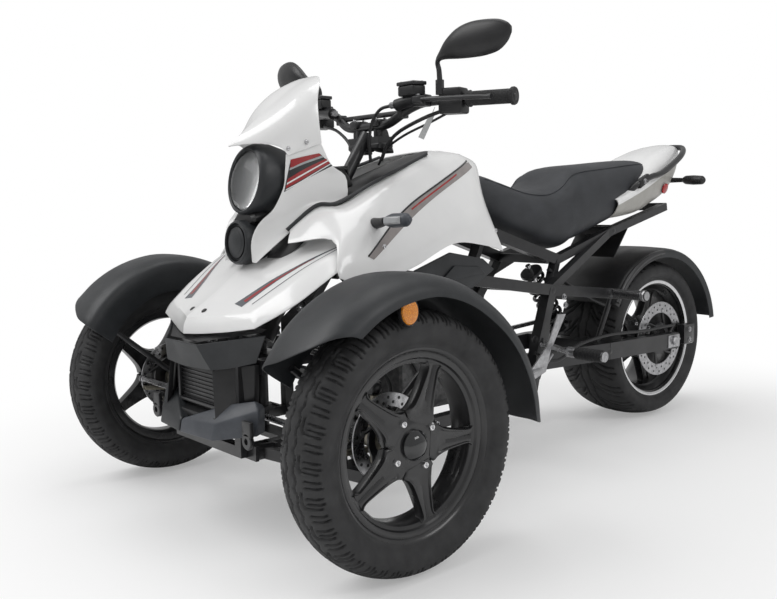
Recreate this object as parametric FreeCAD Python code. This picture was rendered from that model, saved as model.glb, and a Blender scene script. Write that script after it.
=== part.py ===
"""Reverse motor trike: two steered front wheels, one driven rear wheel.

Millimetres. +Z up, the vehicle faces -Y and +X is its left side. The origin is on the floor under the
middle of the whole vehicle's box. Places forward of the seat are given from the front axle, and places
behind it from the rear axle.
"""
import FreeCAD, Part
import math
import os

V = FreeCAD.Vector

# ---- driving dimensions -------------------------------------------------------------------------
WHEELBASE = 1442.5
TRACK = 1002.0
REAR_OVERHANG = 305.0        # rear axle to the rear fender's end

FRONT_TYRE_R = 262.0
FRONT_TYRE_W = 123.0
FRONT_RIM_R = 191.0
FRONT_RIM_W = 92.0
REAR_TYRE_R = 258.0
REAR_TYRE_W = 229.0
REAR_RIM_R = 191.0
REAR_RIM_W = 196.0
RIM_WALL = 6.0
RIM_DEPTH = 20.0             # flange lip down to the barrel
FRONT_SPOKES = 5
REAR_SPOKES = 5
HUB_R = 42.0
BOLT_CIRCLE_R = 54.0
BOLT_HOLE_R = 6.0
DISC_T = 4.0
FRONT_DISC_R = 90.0
REAR_DISC_R = 120.0
DISC_CENTRE_R = 34.0
REAR_DISC_X = 112.0
REAR_SPROCKET_X = 128.0
SPROCKET_T = 5.0
SPROCKET_R = 80.0
SMALL_SPROCKET_R = 30.0
CHAIN_H = 12.0
CHAIN_W = 9.0
AXLE_R = 10.0
RUN = 0.5                    # running clearance between a shaft and its hole

KINGPIN_IN = 78.0            # wheel centre to kingpin, across the vehicle
STEER_ARM_X = 14.0
STEER_ARM_Y = 95.0
TIE_ROD_R = 7.0
BALL_R = 11.0
LOWER_BALL_Z = 168.0
UPPER_BALL_Z = 356.0
ARM_PIVOT_X = 165.0
LOWER_PIVOT_Z = 196.0
UPPER_PIVOT_Z = 378.0
LOWER_SPREAD = 105.0
UPPER_SPREAD = 80.0
ARM_EYE_R = 17.0
ARM_EYE_L = 20.0             # half the length of an arm's pivot eye
EAR_T = 8.0
STRUT_FOOT = (330.0, 222.0)  # x and z of a strut's lower eye
STRUT_HEAD = (200.0, 500.0)
STRUT_EYE_L = 15.0
STRUT_SPRING_R = 27.0
ARM_TUBE = 24.0

COLUMN_TOP = (0, 342, 905)   # from the front axle
COLUMN_FOOT = (0, 8, 404)
COLUMN_R = 16.0
BAR_R = 11.0
GRIP_R = 17.0
GRIP_LENGTH = 122.0
BAR_END_X = 400.0

FENDER_T = 3.0
STAY_END = 87.0              # wheel's middle in to the end of a fender stay
REAR_FENDER_R = 296.0
PANEL_T = 3.0
SEAM = 1.0                   # gap between the two side panels on the middle line
TUBE = 30.0                  # square frame tube
SMALL_TUBE = 24.0

# ---- stations worked out from them --------------------------------------------------------------
FRONT_Y = (FRONT_TYRE_R - WHEELBASE - REAR_OVERHANG) / 2
REAR_Y = FRONT_Y + WHEELBASE
WHEEL_X = TRACK / 2
KINGPIN_X = WHEEL_X - KINGPIN_IN
AXLE_Z = FRONT_TYRE_R
REAR_Z = REAR_TYRE_R
X_AXIS = V(1, 0, 0)
Y_AXIS = V(0, 1, 0)
Z_AXIS = V(0, 0, 1)
PLATE_HOLES = 145.0
PLATE_HOLE_R = 3.25
TIE_Z = AXLE_Z + 6
RELAY_R = 14.0
FRONT_FACE = FRONT_RIM_W / 2 - 14      # spokes' outer face from the wheel's middle
FRONT_DISC_X = KINGPIN_IN - 36         # disc's place, inboard of the wheel's middle
REAR_FACE = REAR_RIM_W / 2 - 60
LUG_X = 206.0
LUG_Y = 172.0                # front axle to a tow eye's front face
LUG_Z = 236.0
LUG_R = 18.0
LUG_T = 10.0
LUG_HOLE_R = 7.0


def front(x, y, z):
    """A point given from the middle of the front axle's station."""
    return V(x, FRONT_Y + y, z)


def rear(x, y, z):
    """A point given from the rear axle's station."""
    return V(x, REAR_Y + y, z)


# ---- shape helpers ------------------------------------------------------------------------------
def rod(start, end, radius):
    """A round bar between two points."""
    way = end - start
    return Part.makeCylinder(radius, way.Length, start, way)


def beam(start, end, width, height=None, up=Z_AXIS):
    """A rectangular bar between two points, its height turned towards `up`."""
    height = height or width
    way = end - start
    side = way.cross(up)
    if side.Length < 1e-6:
        side = way.cross(Y_AXIS)
    side.normalize()
    rise = side.cross(way)
    rise.normalize()
    corners = []
    for across, along in ((-1, -1), (1, -1), (1, 1), (-1, 1)):
        corners.append(start + side * (across * width / 2) + rise * (along * height / 2))
    return Part.Face(Part.makePolygon(corners + corners[:1])).extrude(way)


def beams(points, width, height=None, up=Z_AXIS):
    """Rectangular bars along a run of points, with a round knuckle at each corner."""
    pieces = []
    for start, end in zip(points, points[1:]):
        pieces.append(beam(start, end, width, height, up))
    for corner in points[1:-1]:
        pieces.append(Part.makeSphere(width * 0.6, corner))
    return fuse(pieces)


def fuse(shapes):
    """Several shapes as one."""
    joined = shapes[0]
    if len(shapes) > 1:
        joined = joined.multiFuse(shapes[1:])
    return joined.removeSplitter()


def hull(points, height):
    """A prism on a flat outline, raised by a vector."""
    return Part.Face(Part.makePolygon(points + points[:1])).extrude(height)


def loft(outlines, ruled=True):
    """A solid through closed outlines."""
    wires = [Part.makePolygon(points + points[:1]) for points in outlines]
    return Part.makeLoft(wires, True, ruled)


def largest(shape):
    """The biggest solid of a shape, without what a cut leaves behind."""
    return max(shape.Solids, key=lambda solid: solid.Volume)


def mirrored(shape):
    """The same piece on the other side of the vehicle."""
    return shape.mirror(V(0, 0, 0), X_AXIS)


def both(shape):
    """A left piece and its right twin."""
    return Part.makeCompound([shape, mirrored(shape)])


def bent_rod(points, radius, bend):
    """A round bar along straight runs joined by tangent arcs."""
    edges = []
    start = points[0]
    for before, corner, after in zip(points, points[1:], points[2:]):
        into = (corner - before).normalize()
        out = (after - corner).normalize()
        turn = into.getAngle(out)
        back = bend * math.tan(turn / 2)
        enter = corner - into * back
        leave = corner + out * back
        centre_way = (out - into).normalize()
        middle = corner + centre_way * (bend / math.cos(turn / 2) - bend)
        edges.append(Part.LineSegment(start, enter).toShape())
        edges.append(Part.Arc(enter, middle, leave).toShape())
        start = leave
    edges.append(Part.LineSegment(start, points[-1]).toShape())
    way = points[1] - points[0]
    ring = Part.Wire(Part.makeCircle(radius, points[0], way))
    return Part.Wire(edges).makePipeShell([ring], True, False)


def turned(profile, centre, axis=X_AXIS):
    """A ring turned about a wheel's axle. The profile is (offset along the axle, radius)."""
    points = [centre + V(offset, 0, radius) for offset, radius in profile]
    return Part.Face(Part.makePolygon(points + points[:1])).revolve(centre, axis, 360)


def panel(lines, thickness, inward):
    """A curved sheet. Each line runs along it, and `inward` points to the side that it thickens to."""
    inner = []
    for row, line in enumerate(lines):
        shifted = []
        for place, point in enumerate(line):
            before = lines[max(row - 1, 0)][place]
            after = lines[min(row + 1, len(lines) - 1)][place]
            across = after - before
            along = line[min(place + 1, len(line) - 1)] - line[max(place - 1, 0)]
            normal = across.cross(along).normalize()
            if normal.dot(inward(point)) < 0:
                normal = normal * -1
            shifted.append(point + normal * thickness)
        inner.append(shifted)
    outer_edges = [curve(line) for line in lines]
    inner_edges = [curve(line) for line in inner]
    faces = []
    for first, second in zip(outer_edges, outer_edges[1:]):
        faces.append(Part.makeRuledSurface(first, second))
    for first, second in zip(inner_edges, inner_edges[1:]):
        faces.append(Part.makeRuledSurface(first, second))
    faces.append(Part.makeRuledSurface(outer_edges[0], inner_edges[0]))
    faces.append(Part.makeRuledSurface(outer_edges[-1], inner_edges[-1]))
    for end in (0, -1):
        for row in range(len(lines) - 1):
            a = lines[row][end]
            b = lines[row + 1][end]
            c = inner[row + 1][end]
            d = inner[row][end]
            faces.append(triangle(a, b, c))
            faces.append(triangle(a, c, d))
    shell = Part.makeShell(faces)
    shell.sewShape()
    solid = Part.makeSolid(shell)
    if solid.Volume < 0:
        solid.reverse()
    return solid


def curve(points):
    """One smooth edge through points, or a straight one through two."""
    if len(points) == 2:
        return Part.makeLine(points[0], points[1])
    spline = Part.BSplineCurve()
    spline.interpolate(points)
    return spline.toShape()


def triangle(a, b, c):
    """A flat three-cornered face."""
    return Part.Face(Part.makePolygon([a, b, c, a]))


def to_middle(point):
    """The way from a point to the vehicle's middle plane, and down."""
    return V(-point.x, 0, -abs(point.x) * 0.4 - 1)


# ---- wheels -------------------------------------------------------------------------------------
def tyre(centre, radius, width, rim_radius, rim_width, crown):
    """A tyre: crown arc, round shoulders, side walls and beads, closed on the rim."""
    bead = rim_width / 2 - 3
    half = width / 2
    seat = rim_radius - RIM_DEPTH * 0.6
    wall_r = (radius + rim_radius) / 2
    shoulder_r = radius - crown
    outline = [Part.makeLine(centre + V(-bead, 0, seat), centre + V(bead, 0, seat))]
    tread_edge = half * 0.88
    for way in (1, -1):
        wall = curve([centre + V(way * bead, 0, seat), centre + V(way * (bead + half) / 2, 0, rim_radius),
                      centre + V(way * half, 0, wall_r), centre + V(way * tread_edge, 0, shoulder_r)])
        outline.append(wall)
    outline.insert(2, Part.Arc(centre + V(tread_edge, 0, shoulder_r), centre + V(0, 0, radius),
                               centre + V(-tread_edge, 0, shoulder_r)).toShape())
    return Part.Face(Part.Wire(Part.sortEdges(outline)[0])).revolve(centre, X_AXIS, 360)


def rim(centre, side, radius, width, spokes, face, bore):
    """A cast wheel: barrel with two flanges, a hub and tapered spokes near its outer face."""
    half = width / 2
    seat = radius - RIM_DEPTH
    barrel = turned([
        (-half, radius), (-half, radius - RIM_WALL - 12), (-half * 0.6, seat - 14 - RIM_WALL),
        (half * 0.6, seat - 14 - RIM_WALL), (half, radius - RIM_WALL - 12), (half, radius),
        (half - RIM_WALL, radius), (half - RIM_WALL, seat), (half * 0.5, seat - 14),
        (-half * 0.5, seat - 14), (-half + RIM_WALL, seat), (-half + RIM_WALL, radius)], centre)
    hub_out = centre + V(side * (face + 12), 0, 0)
    hub_in = centre + V(side * (face - 46), 0, 0)
    hub = rod(hub_in, hub_out, HUB_R + 24)
    pieces = [barrel, hub]
    reach = seat - 14 - RIM_WALL / 2
    for number in range(spokes):
        turn = 360 / spokes * number
        root = []
        tip = []
        for across, depth in ((-25, -26), (25, -26), (25, 4), (-25, 4)):
            root.append(centre + V(side * (face + depth), across, HUB_R))
        for across, depth in ((-15, -24), (15, -24), (15, -2), (-15, -2)):
            tip.append(centre + V(side * (face + depth), across, reach))
        spoke = loft([root, tip])
        spoke.rotate(centre, X_AXIS, turn)
        pieces.append(spoke)
    body = fuse(pieces)
    return body.cut(rod(centre - V(width, 0, 0), centre + V(width, 0, 0), bore))


def disc(centre, offset, radius, spread=DISC_T):
    """A drilled brake disc, on the inner side of its hub."""
    start = centre + V(offset - spread / 2, 0, 0)
    plate = rod(start, start + V(spread, 0, 0), radius)
    plate = plate.cut(rod(start, start + V(spread, 0, 0), DISC_CENTRE_R))
    holes = []
    for number in range(12):
        angle = math.radians(30 * number)
        place = start + V(0, math.cos(angle), math.sin(angle)) * (radius * 0.82)
        holes.append(rod(place, place + V(spread, 0, 0), 4.0))
    return plate.cut(Part.makeCompound(holes))


def front_wheel(side):
    """Rim, tyre and disc of one front wheel."""
    centre = front(side * WHEEL_X, 0, AXLE_Z)
    wheel = rim(centre, side, FRONT_RIM_R, FRONT_RIM_W, FRONT_SPOKES, FRONT_FACE, AXLE_R + RUN)
    rubber = tyre(centre, FRONT_TYRE_R, FRONT_TYRE_W, FRONT_RIM_R, FRONT_RIM_W, 26)
    rubber = rubber.cut(wheel)
    hub_back = side * (FRONT_FACE - 46)
    brake = disc(centre, -side * FRONT_DISC_X, FRONT_DISC_R)
    carrier = rod(centre + V(hub_back, 0, 0), centre - V(side * (FRONT_DISC_X - DISC_T / 2), 0, 0),
                  DISC_CENTRE_R + 8)
    carrier = carrier.cut(rod(centre - V(90, 0, 0), centre + V(90, 0, 0), AXLE_R + RUN))
    return wheel.fuse(carrier), rubber, brake


def rear_wheel():
    """Rim, tyre, disc and sprocket of the rear wheel."""
    centre = rear(0, 0, REAR_Z)
    wheel = rim(centre, 1, REAR_RIM_R, REAR_RIM_W, REAR_SPOKES, REAR_FACE, AXLE_R + RUN)
    hub = rod(centre - V(REAR_SPROCKET_X - SPROCKET_T, 0, 0), centre + V(REAR_DISC_X - DISC_T / 2, 0, 0), 40)
    hub = hub.cut(rod(centre - V(150, 0, 0), centre + V(150, 0, 0), AXLE_R + RUN))
    rubber = tyre(centre, REAR_TYRE_R, REAR_TYRE_W, REAR_RIM_R, REAR_RIM_W, 16).cut(wheel)
    brake = disc(centre, REAR_DISC_X, REAR_DISC_R)
    start = centre - V(REAR_SPROCKET_X, 0, 0)
    gear = rod(start, start + V(SPROCKET_T, 0, 0), SPROCKET_R)
    gear = gear.cut(rod(start, start + V(SPROCKET_T, 0, 0), DISC_CENTRE_R))
    return wheel.fuse(hub), rubber, brake, gear


# ---- front running gear -------------------------------------------------------------------------
def knuckle(side):
    """Upright between the ball joints, with stub axle, steering arm, brake bracket and caliper."""
    x = side * KINGPIN_X
    low = front(x, 0, LOWER_BALL_Z + 14)
    high = front(x, 0, UPPER_BALL_Z - 14)
    post = rod(low, high, 15)
    boss = rod(front(x - side * 20, 0, AXLE_Z), front(x + side * 22, 0, AXLE_Z), 28)
    stub = rod(front(x, 0, AXLE_Z), front(side * (WHEEL_X + FRONT_FACE + 6), 0, AXLE_Z), AXLE_R)
    ball = front(x + side * STEER_ARM_X, -STEER_ARM_Y, TIE_Z - BALL_R - 8)
    arm = beam(front(x, 0, TIE_Z - 24), ball, 16, 14)
    pin = rod(ball - V(0, 0, 8), ball + V(0, 0, 8 - RUN), 8)
    grip = front(x + side * (KINGPIN_IN - FRONT_DISC_X), 0, AXLE_Z)
    block = Part.makeBox(44, 52, 62, grip + V(-22, 50, -10))
    slot = rod(grip - V(DISC_T / 2 + 2, 0, 0), grip + V(DISC_T / 2 + 2, 0, 0), FRONT_DISC_R + 6)
    block = block.cut(slot)
    bracket = beam(front(x, 10, AXLE_Z + 20), grip + V(-side * 15, 62, 30), 12, 34)
    pieces = [post, boss, stub, arm, pin, block, bracket]
    for way in (-1, 1):
        pieces.append(rod(front(x - side * 8, way * 6, AXLE_Z + 4),
                          front(side * (WHEEL_X - STAY_END), way * 192, AXLE_Z + 158), 8))
    return fuse(pieces)


def fender(side):
    """A fender that hugs a front wheel: inner skirt, top and outer lip, carried by the knuckle."""
    centre = front(0, 0, AXLE_Z)
    outline = [(-100, 236, 6, 148), (-106, 300, 3, 147), (-84, 321, 0, 146), (-40, 328, -2, 144),
               (20, 328, -2, 138), (52, 320, -2, 132), (70, 304, -1, 127), (76, 286, 0, 124)]
    lines = []
    for across, radius, first, last in outline:
        line = []
        for step in range(13):
            share = step / 12
            angle = math.radians(first + (last - first) * share)
            reach = radius + 20 * max(0, 1 - step / 5) - 14 * max(0, (step - 8) / 4)
            line.append(centre + V(side * (WHEEL_X + across), reach * math.cos(angle),
                                   reach * math.sin(angle)))
        lines.append(line)
    return panel(lines, FENDER_T, lambda point: front(side * WHEEL_X, 0, AXLE_Z) - point)


def control_arms():
    """Upper and lower wishbones of both sides."""
    pieces = []
    foot_x, foot_z = STRUT_FOOT
    for ball_z, pivot_z, spread in ((LOWER_BALL_Z, LOWER_PIVOT_Z, LOWER_SPREAD),
                                    (UPPER_BALL_Z, UPPER_PIVOT_Z, UPPER_SPREAD)):
        ball = front(KINGPIN_X, 0, ball_z)
        legs = [Part.makeSphere(13, ball)]
        for way in (-1, 1):
            foot = front(ARM_PIVOT_X, way * spread, pivot_z)
            legs.append(beam(ball, foot, ARM_TUBE, ARM_TUBE))
            legs.append(rod(foot - V(0, ARM_EYE_L, 0), foot + V(0, ARM_EYE_L, 0), ARM_EYE_R))
        if pivot_z == LOWER_PIVOT_Z:
            legs.append(beam(front(foot_x, -46, foot_z - 44), front(foot_x, 46, foot_z - 44), 36, 12))
            for ear in (STRUT_EYE_L, -STRUT_EYE_L - EAR_T):
                legs.append(Part.makeBox(28, EAR_T, 62, front(foot_x - 14, ear, foot_z - 46)))
        pieces.append(fuse(legs))
    arms = Part.makeCompound(pieces)
    return Part.makeCompound([arms, mirrored(arms)])


def front_shocks():
    """Spring struts from the lower arms up to the front subframe."""
    foot = front(STRUT_FOOT[0], 0, STRUT_FOOT[1])
    head = front(STRUT_HEAD[0], 0, STRUT_HEAD[1])
    way = (head - foot).normalize()
    eye = V(0, STRUT_EYE_L, 0)
    strut = fuse([rod(foot, head, 11), rod(foot + way * 60, head - way * 50, STRUT_SPRING_R),
                  rod(foot - eye, foot + eye, 14), rod(head - eye, head + eye, 14)])
    return both(strut)


def front_subframe():
    """Box of tubes that carries the arms, the struts and the column."""
    x = ARM_PIVOT_X - ARM_EYE_R - SMALL_TUBE / 2 - 1
    pieces = []
    for z, spread in ((LOWER_PIVOT_Z, LOWER_SPREAD), (UPPER_PIVOT_Z, UPPER_SPREAD)):
        for side in (-1, 1):
            pieces.append(beam(front(side * x, -150, z), front(side * x, 170, z), SMALL_TUBE))
            for y in (-spread, spread):
                for ear in (y - ARM_EYE_L - EAR_T, y + ARM_EYE_L):
                    corner = front(side * (x + 22) - 22, ear, z - 16)
                    pieces.append(Part.makeBox(44, EAR_T, 32, corner))
        for y in (-138, 158):
            pieces.append(beam(front(-x, y, z), front(x, y, z), SMALL_TUBE))
    for side in (-1, 1):
        for y in (-138, 158):
            pieces.append(beam(front(side * x, y, LOWER_PIVOT_Z), front(side * x, y, UPPER_PIVOT_Z),
                               SMALL_TUBE))
        head_x, head_z = STRUT_HEAD
        for y in (STRUT_EYE_L, -STRUT_EYE_L - EAR_T):
            plate = [front(side * (x - 12), y, UPPER_PIVOT_Z), front(side * (x + 12), y, UPPER_PIVOT_Z),
                     front(side * (head_x + 14), y, head_z), front(side * (head_x - 4), y, head_z + 16),
                     front(side * (x - 12), y, head_z - 30)]
            pieces.append(hull(plate, V(0, EAR_T, 0)))
        tower = front(side * (head_x - 46), STRUT_EYE_L + EAR_T, head_z - 10)
        pieces.append(beam(tower, front(side * 100, 120, 560), SMALL_TUBE))
        pieces.append(beam(front(side * x, -14, head_z - 44), front(side * x, 14, head_z - 44), SMALL_TUBE))
    pieces.append(beam(front(-110, 120, 560), front(110, 120, 560), SMALL_TUBE))
    foot = front(*COLUMN_FOOT)
    way = (front(*COLUMN_TOP) - foot).normalize()
    pieces.append(rod(foot + way * 152, foot + way * 222, COLUMN_R + 12))
    pieces.append(beam(front(-x, 0, LOWER_PIVOT_Z), front(x, 0, LOWER_PIVOT_Z), 50, 12))
    bridge = beam(front(-x, 0, UPPER_PIVOT_Z), front(x, 0, UPPER_PIVOT_Z), 50, 12)
    cage = fuse(pieces + [bridge])
    well = rod(front(0, 0, 150), front(0, 0, 420), RELAY_R + RUN)
    bearing = rod(foot + way * 100, foot + way * 300, COLUMN_R + RUN)
    return cage.cut(well).cut(bearing)


def steering_relay():
    """The upright relay shaft under the column, with the arm that works both tie rods."""
    shaft = rod(front(0, 0, LOWER_PIVOT_Z - 4), front(0, 0, 404), RELAY_R)
    arm_z = TIE_Z - BALL_R - 8
    wide = STEER_ARM_X + 14
    plate = hull([front(-wide, -STEER_ARM_Y - 14, arm_z - 6), front(wide, -STEER_ARM_Y - 14, arm_z - 6),
                  front(22, 14, arm_z - 6), front(-22, 14, arm_z - 6)], V(0, 0, 10))
    pins = []
    for side in (-1, 1):
        ball = front(side * STEER_ARM_X, -STEER_ARM_Y, TIE_Z - BALL_R)
        pins.append(rod(ball - V(0, 0, 8), ball - V(0, 0, RUN), 8))
    return fuse([shaft, plate] + pins)


def tie_rod(side):
    """A tie rod with a ball joint at each end."""
    inner = front(side * STEER_ARM_X, -STEER_ARM_Y, TIE_Z)
    outer = front(side * (KINGPIN_X + STEER_ARM_X), -STEER_ARM_Y, TIE_Z)
    return fuse([rod(inner, outer, TIE_ROD_R), Part.makeSphere(BALL_R, inner),
                 Part.makeSphere(BALL_R, outer)])


# ---- steering -----------------------------------------------------------------------------------
def steering_column():
    """The inclined column, with the riser clamp on its top and the joint at its foot."""
    top = front(*COLUMN_TOP)
    foot = front(*COLUMN_FOOT)
    way = (top - foot).normalize()
    shaft = rod(foot + way * 6, top - way * 20, COLUMN_R)
    fork = rod(foot + way * 6, foot + way * 46, 22)
    yoke = Part.makeBox(120, 46, 26, top + V(-60, -23, -50))
    riser = both(rod(top + V(36, 0, -40), top + V(36, 0, -5), 14))
    return fuse([shaft, fork, yoke] + riser.Solids)


def bar_points(side):
    """The handlebar's line on one side."""
    return [front(side * 2, 342, 910), front(side * 78, 336, 910), front(side * 150, 352, 944),
            front(side * 215, 372, 955), front(side * BAR_END_X, 432, 952)]


def handlebar():
    """The handlebar tube, clamped on the risers, with a cross brace."""
    halves = []
    for side in (-1, 1):
        points = bar_points(side)
        points[0] = front(0, 342, 910)
        halves.append(bent_rod(points, BAR_R, 30))
    brace = rod(front(-128, 347, 934), front(128, 347, 934), 7)
    clamp = Part.makeBox(112, 44, 30, front(-56, 320, 900))
    return fuse(halves + [brace, clamp]).cut(steering_column())


def grips():
    """Rubber grips with end flanges."""
    end = bar_points(1)[-1]
    way = (end - bar_points(1)[-2]).normalize()
    start = end - way * GRIP_LENGTH
    body = fuse([rod(start, end, GRIP_R), rod(end - way * 4, end + way * 6, GRIP_R + 4)])
    body = body.cut(rod(start - way * 4, end, BAR_R))
    return both(body)


def handlebar_controls():
    """Switch housings, brake reservoirs and levers of both sides."""
    end = bar_points(1)[-1]
    way = (end - bar_points(1)[-2]).normalize()
    box_in = end - way * (GRIP_LENGTH + 52)
    box = beam(box_in, end - way * (GRIP_LENGTH + 4), 44, 56)
    tank = Part.makeBox(62, 48, 34, front(150, 300, 966))
    perch = beam(front(176, 326, 962), front(196, 362, 952), 30, 26)
    lever = bent_rod([front(196, 316, 956), front(250, 330, 952), front(372, 374, 946)], 6, 60)
    pivot = rod(front(196, 316, 946), front(196, 316, 970), 12)
    piece = fuse([box, tank, perch, lever, pivot])
    bar = bent_rod(bar_points(1), BAR_R, 30)
    return both(piece.cut(bar))


def mirrors():
    """Mirrors on bent stems."""
    base = front(236, 372, 966)
    stem = bent_rod([base, front(238, 366, 1010), front(262, 340, 1050), front(292, 330, 1062)], 6, 20)
    head = []
    for offset, scale in ((-12, 0.8), (0, 1.0), (12, 0.86)):
        ring = []
        for step in range(12):
            angle = math.radians(30 * step)
            ring.append(front(362 + scale * 88 * math.cos(angle), 340 + offset + 10 * math.cos(angle),
                              1080 + scale * 34 * math.sin(angle)))
        head.append(ring)
    return both(largest(fuse([stem, loft(head)]).cut(handlebar_controls())))


# ---- frame, engine, rear ------------------------------------------------------------------------
def main_frame():
    """Square-tube frame from the front subframe to the tail."""
    pieces = []
    for side in (-1, 1):
        lower = [front(side * 135, 170, 190), front(side * 154, 400, 168), front(side * 154, 760, 176)]
        pieces.append(beams(lower, TUBE))
        back = [front(side * 154, 760, 176), front(side * 154, 800, 330), rear(side * 150, -590, 470)]
        pieces.append(beams(back, TUBE))
        top = [front(side * 110, 130, 560), front(side * 96, 420, 690), front(side * 100, 640, 640),
               rear(side * 112, -520, 545)]
        pieces.append(beams(top, TUBE))
        rail = [front(side * 135, 170, 378), front(side * 160, 520, 520), rear(side * 150, -590, 466),
                rear(side * 152, -300, 432)]
        pieces.append(beams(rail, TUBE))
        seat_rail = [rear(side * 112, -520, 545), rear(side * 104, -250, 618), rear(side * 84, 60, 684)]
        pieces.append(beams(seat_rail, SMALL_TUBE))
        pieces.append(beam(rear(side * 150, -590, 470), rear(side * 104, -270, 612), SMALL_TUBE))
        pieces.append(beam(front(side * 158, 520, 520), front(side * 100, 640, 640), SMALL_TUBE))
        pieces.append(beam(front(side * 150, 800, 330), rear(side * 112, -520, 545), SMALL_TUBE))
    for point in (front(154, 400, 168), front(154, 760, 176), rear(112, -520, 545),
                  rear(104, -250, 618), rear(84, 60, 684), front(96, 420, 690)):
        pieces.append(beam(V(-point.x, point.y, point.z), point, SMALL_TUBE))
    return fuse(pieces).cut(front_subframe())


def engine():
    """The engine and gearbox as one plain block."""
    return Part.makeBox(240, 400, 290, front(-120, 300, 168 + SMALL_TUBE / 2))


def exhaust():
    """Header pipe and silencer on the right side."""
    pipe = bent_rod([front(-60, 300, 320), front(-60, 236, 320), front(-60, 236, 116),
                     front(-140, 330, 108), front(-205, 420, 112), front(-222, 740, 140)], 17, 36)
    can = rod(front(-222, 736, 140), rear(-226, -310, 205), 48)
    return fuse([pipe, can])


def swingarm():
    """Rear swing arm: a pivot tube and two arms to the axle."""
    pieces = [rod(front(-118, 800, 262), front(118, 800, 262), 24)]
    for side in (-1, 1):
        reach = 152 if side > 0 else 160
        pieces.append(beams([front(side * 112, 800, 262), rear(side * reach, -330, 262),
                             rear(side * reach, 30, 254)], 26, 50))
    pieces.append(beam(rear(-150, -330, 262), rear(150, -330, 262), 40, 50))
    pieces.append(rod(rear(-176, 0, REAR_Z), rear(176, 0, REAR_Z), AXLE_R))
    for side in (-1, 1):
        pieces.append(rod(rear(side * 110, -330, 270), rear(side * 110, -258, 410), 8))
    pieces.append(Part.makeBox(26, 60, 60, rear(REAR_DISC_X + 14, 84, 236)))
    return fuse(pieces)


def rear_shock():
    """Rear spring unit under the seat."""
    foot = rear(0, -340, 284)
    head = rear(0, -520, 536)
    way = (head - foot).normalize()
    unit = fuse([rod(foot, head, 14), rod(foot + way * 40, head - way * 40, 34)])
    return largest(unit.cut(swingarm()).cut(main_frame()))


def belt(small, small_r, big, big_r, width):
    """A flat loop round two wheels that turn about X, filled, and `width` wide."""
    way = big - small
    lean = math.asin((big_r - small_r) / way.Length)
    level = math.atan2(way.z, way.y)
    corners = []
    for turn in (1, -1):
        angle = level + turn * (math.pi / 2 + lean)
        out = V(0, math.cos(angle), math.sin(angle))
        corners.append((small + out * small_r, big + out * big_r))
    nose = small - way.normalize() * small_r
    heel = big + (big - small).normalize() * big_r
    (small_a, big_a), (small_b, big_b) = corners
    edges = [Part.makeLine(small_a, big_a), Part.Arc(big_a, heel, big_b).toShape(),
             Part.makeLine(big_b, small_b), Part.Arc(small_b, nose, small_a).toShape()]
    return Part.Face(Part.Wire(edges)).extrude(V(width, 0, 0))


def drive_chain():
    """The chain's closed loop on the right side."""
    big = rear(-REAR_SPROCKET_X - (CHAIN_W - SPROCKET_T) / 2, 0, REAR_Z)
    small = V(big.x, FRONT_Y + 660, REAR_Z)
    gap = 1.0
    loop = belt(small, SMALL_SPROCKET_R + gap + CHAIN_H, big, SPROCKET_R + gap + CHAIN_H, CHAIN_W)
    return loop.cut(belt(small, SMALL_SPROCKET_R + gap, big, SPROCKET_R + gap, CHAIN_W))


def footpegs():
    """Rider's and passenger's pegs with their brackets."""
    rider = fuse([beam(front(160, 806, 322), front(230, 850, 298), 34, 10),
                  rod(front(222, 846, 300), front(345, 846, 300), 14)])
    passenger = rod(rear(150, -330, 436), rear(290, -330, 436), 13)
    frame = main_frame()
    pieces = []
    for peg in (rider, passenger):
        peg = largest(peg.cut(frame))
        pieces.extend([peg, mirrored(peg)])
    return Part.makeCompound(pieces)


def rear_fender():
    """The hoop over the rear wheel, with deep sides behind it."""
    centre = rear(0, 0, REAR_Z)
    lines = []
    first = math.radians(8)
    stretch = REAR_OVERHANG / (REAR_FENDER_R * math.cos(first))
    for across, radius in ((-132, 264), (-128, 290), (-60, REAR_FENDER_R), (60, REAR_FENDER_R),
                           (128, 290), (132, 264)):
        line = []
        for step in range(13):
            angle = first + math.radians(step * 12.2)
            line.append(centre + V(across, radius * stretch * math.cos(angle), radius * math.sin(angle)))
        lines.append(line)
    hoop = panel(lines, FENDER_T, lambda point: rear(0, 0, REAR_Z) - point)
    return hoop.cut(swingarm())


def plate_bracket():
    """A flat plate holder under the seat's rear end."""
    plate = Part.makeBox(190, 4, 124, rear(-95, -180, 520))
    plate.rotate(rear(0, -180, 582), X_AXIS, -38)
    arm = beam(rear(0, -244, 622), rear(0, -176, 600), 60, 8)
    piece = fuse([plate, arm.cut(main_frame())])
    way = V(0, 1, 0)
    way = FreeCAD.Rotation(X_AXIS, -38).multVec(way)
    holes = []
    for across in (-PLATE_HOLES / 2, PLATE_HOLES / 2):
        place = rear(across, -180, 582)
        holes.append(rod(place - way * 12, place + way * 12, PLATE_HOLE_R))
    return largest(piece.cut(Part.makeCompound(holes)).cut(main_frame()))


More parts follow.
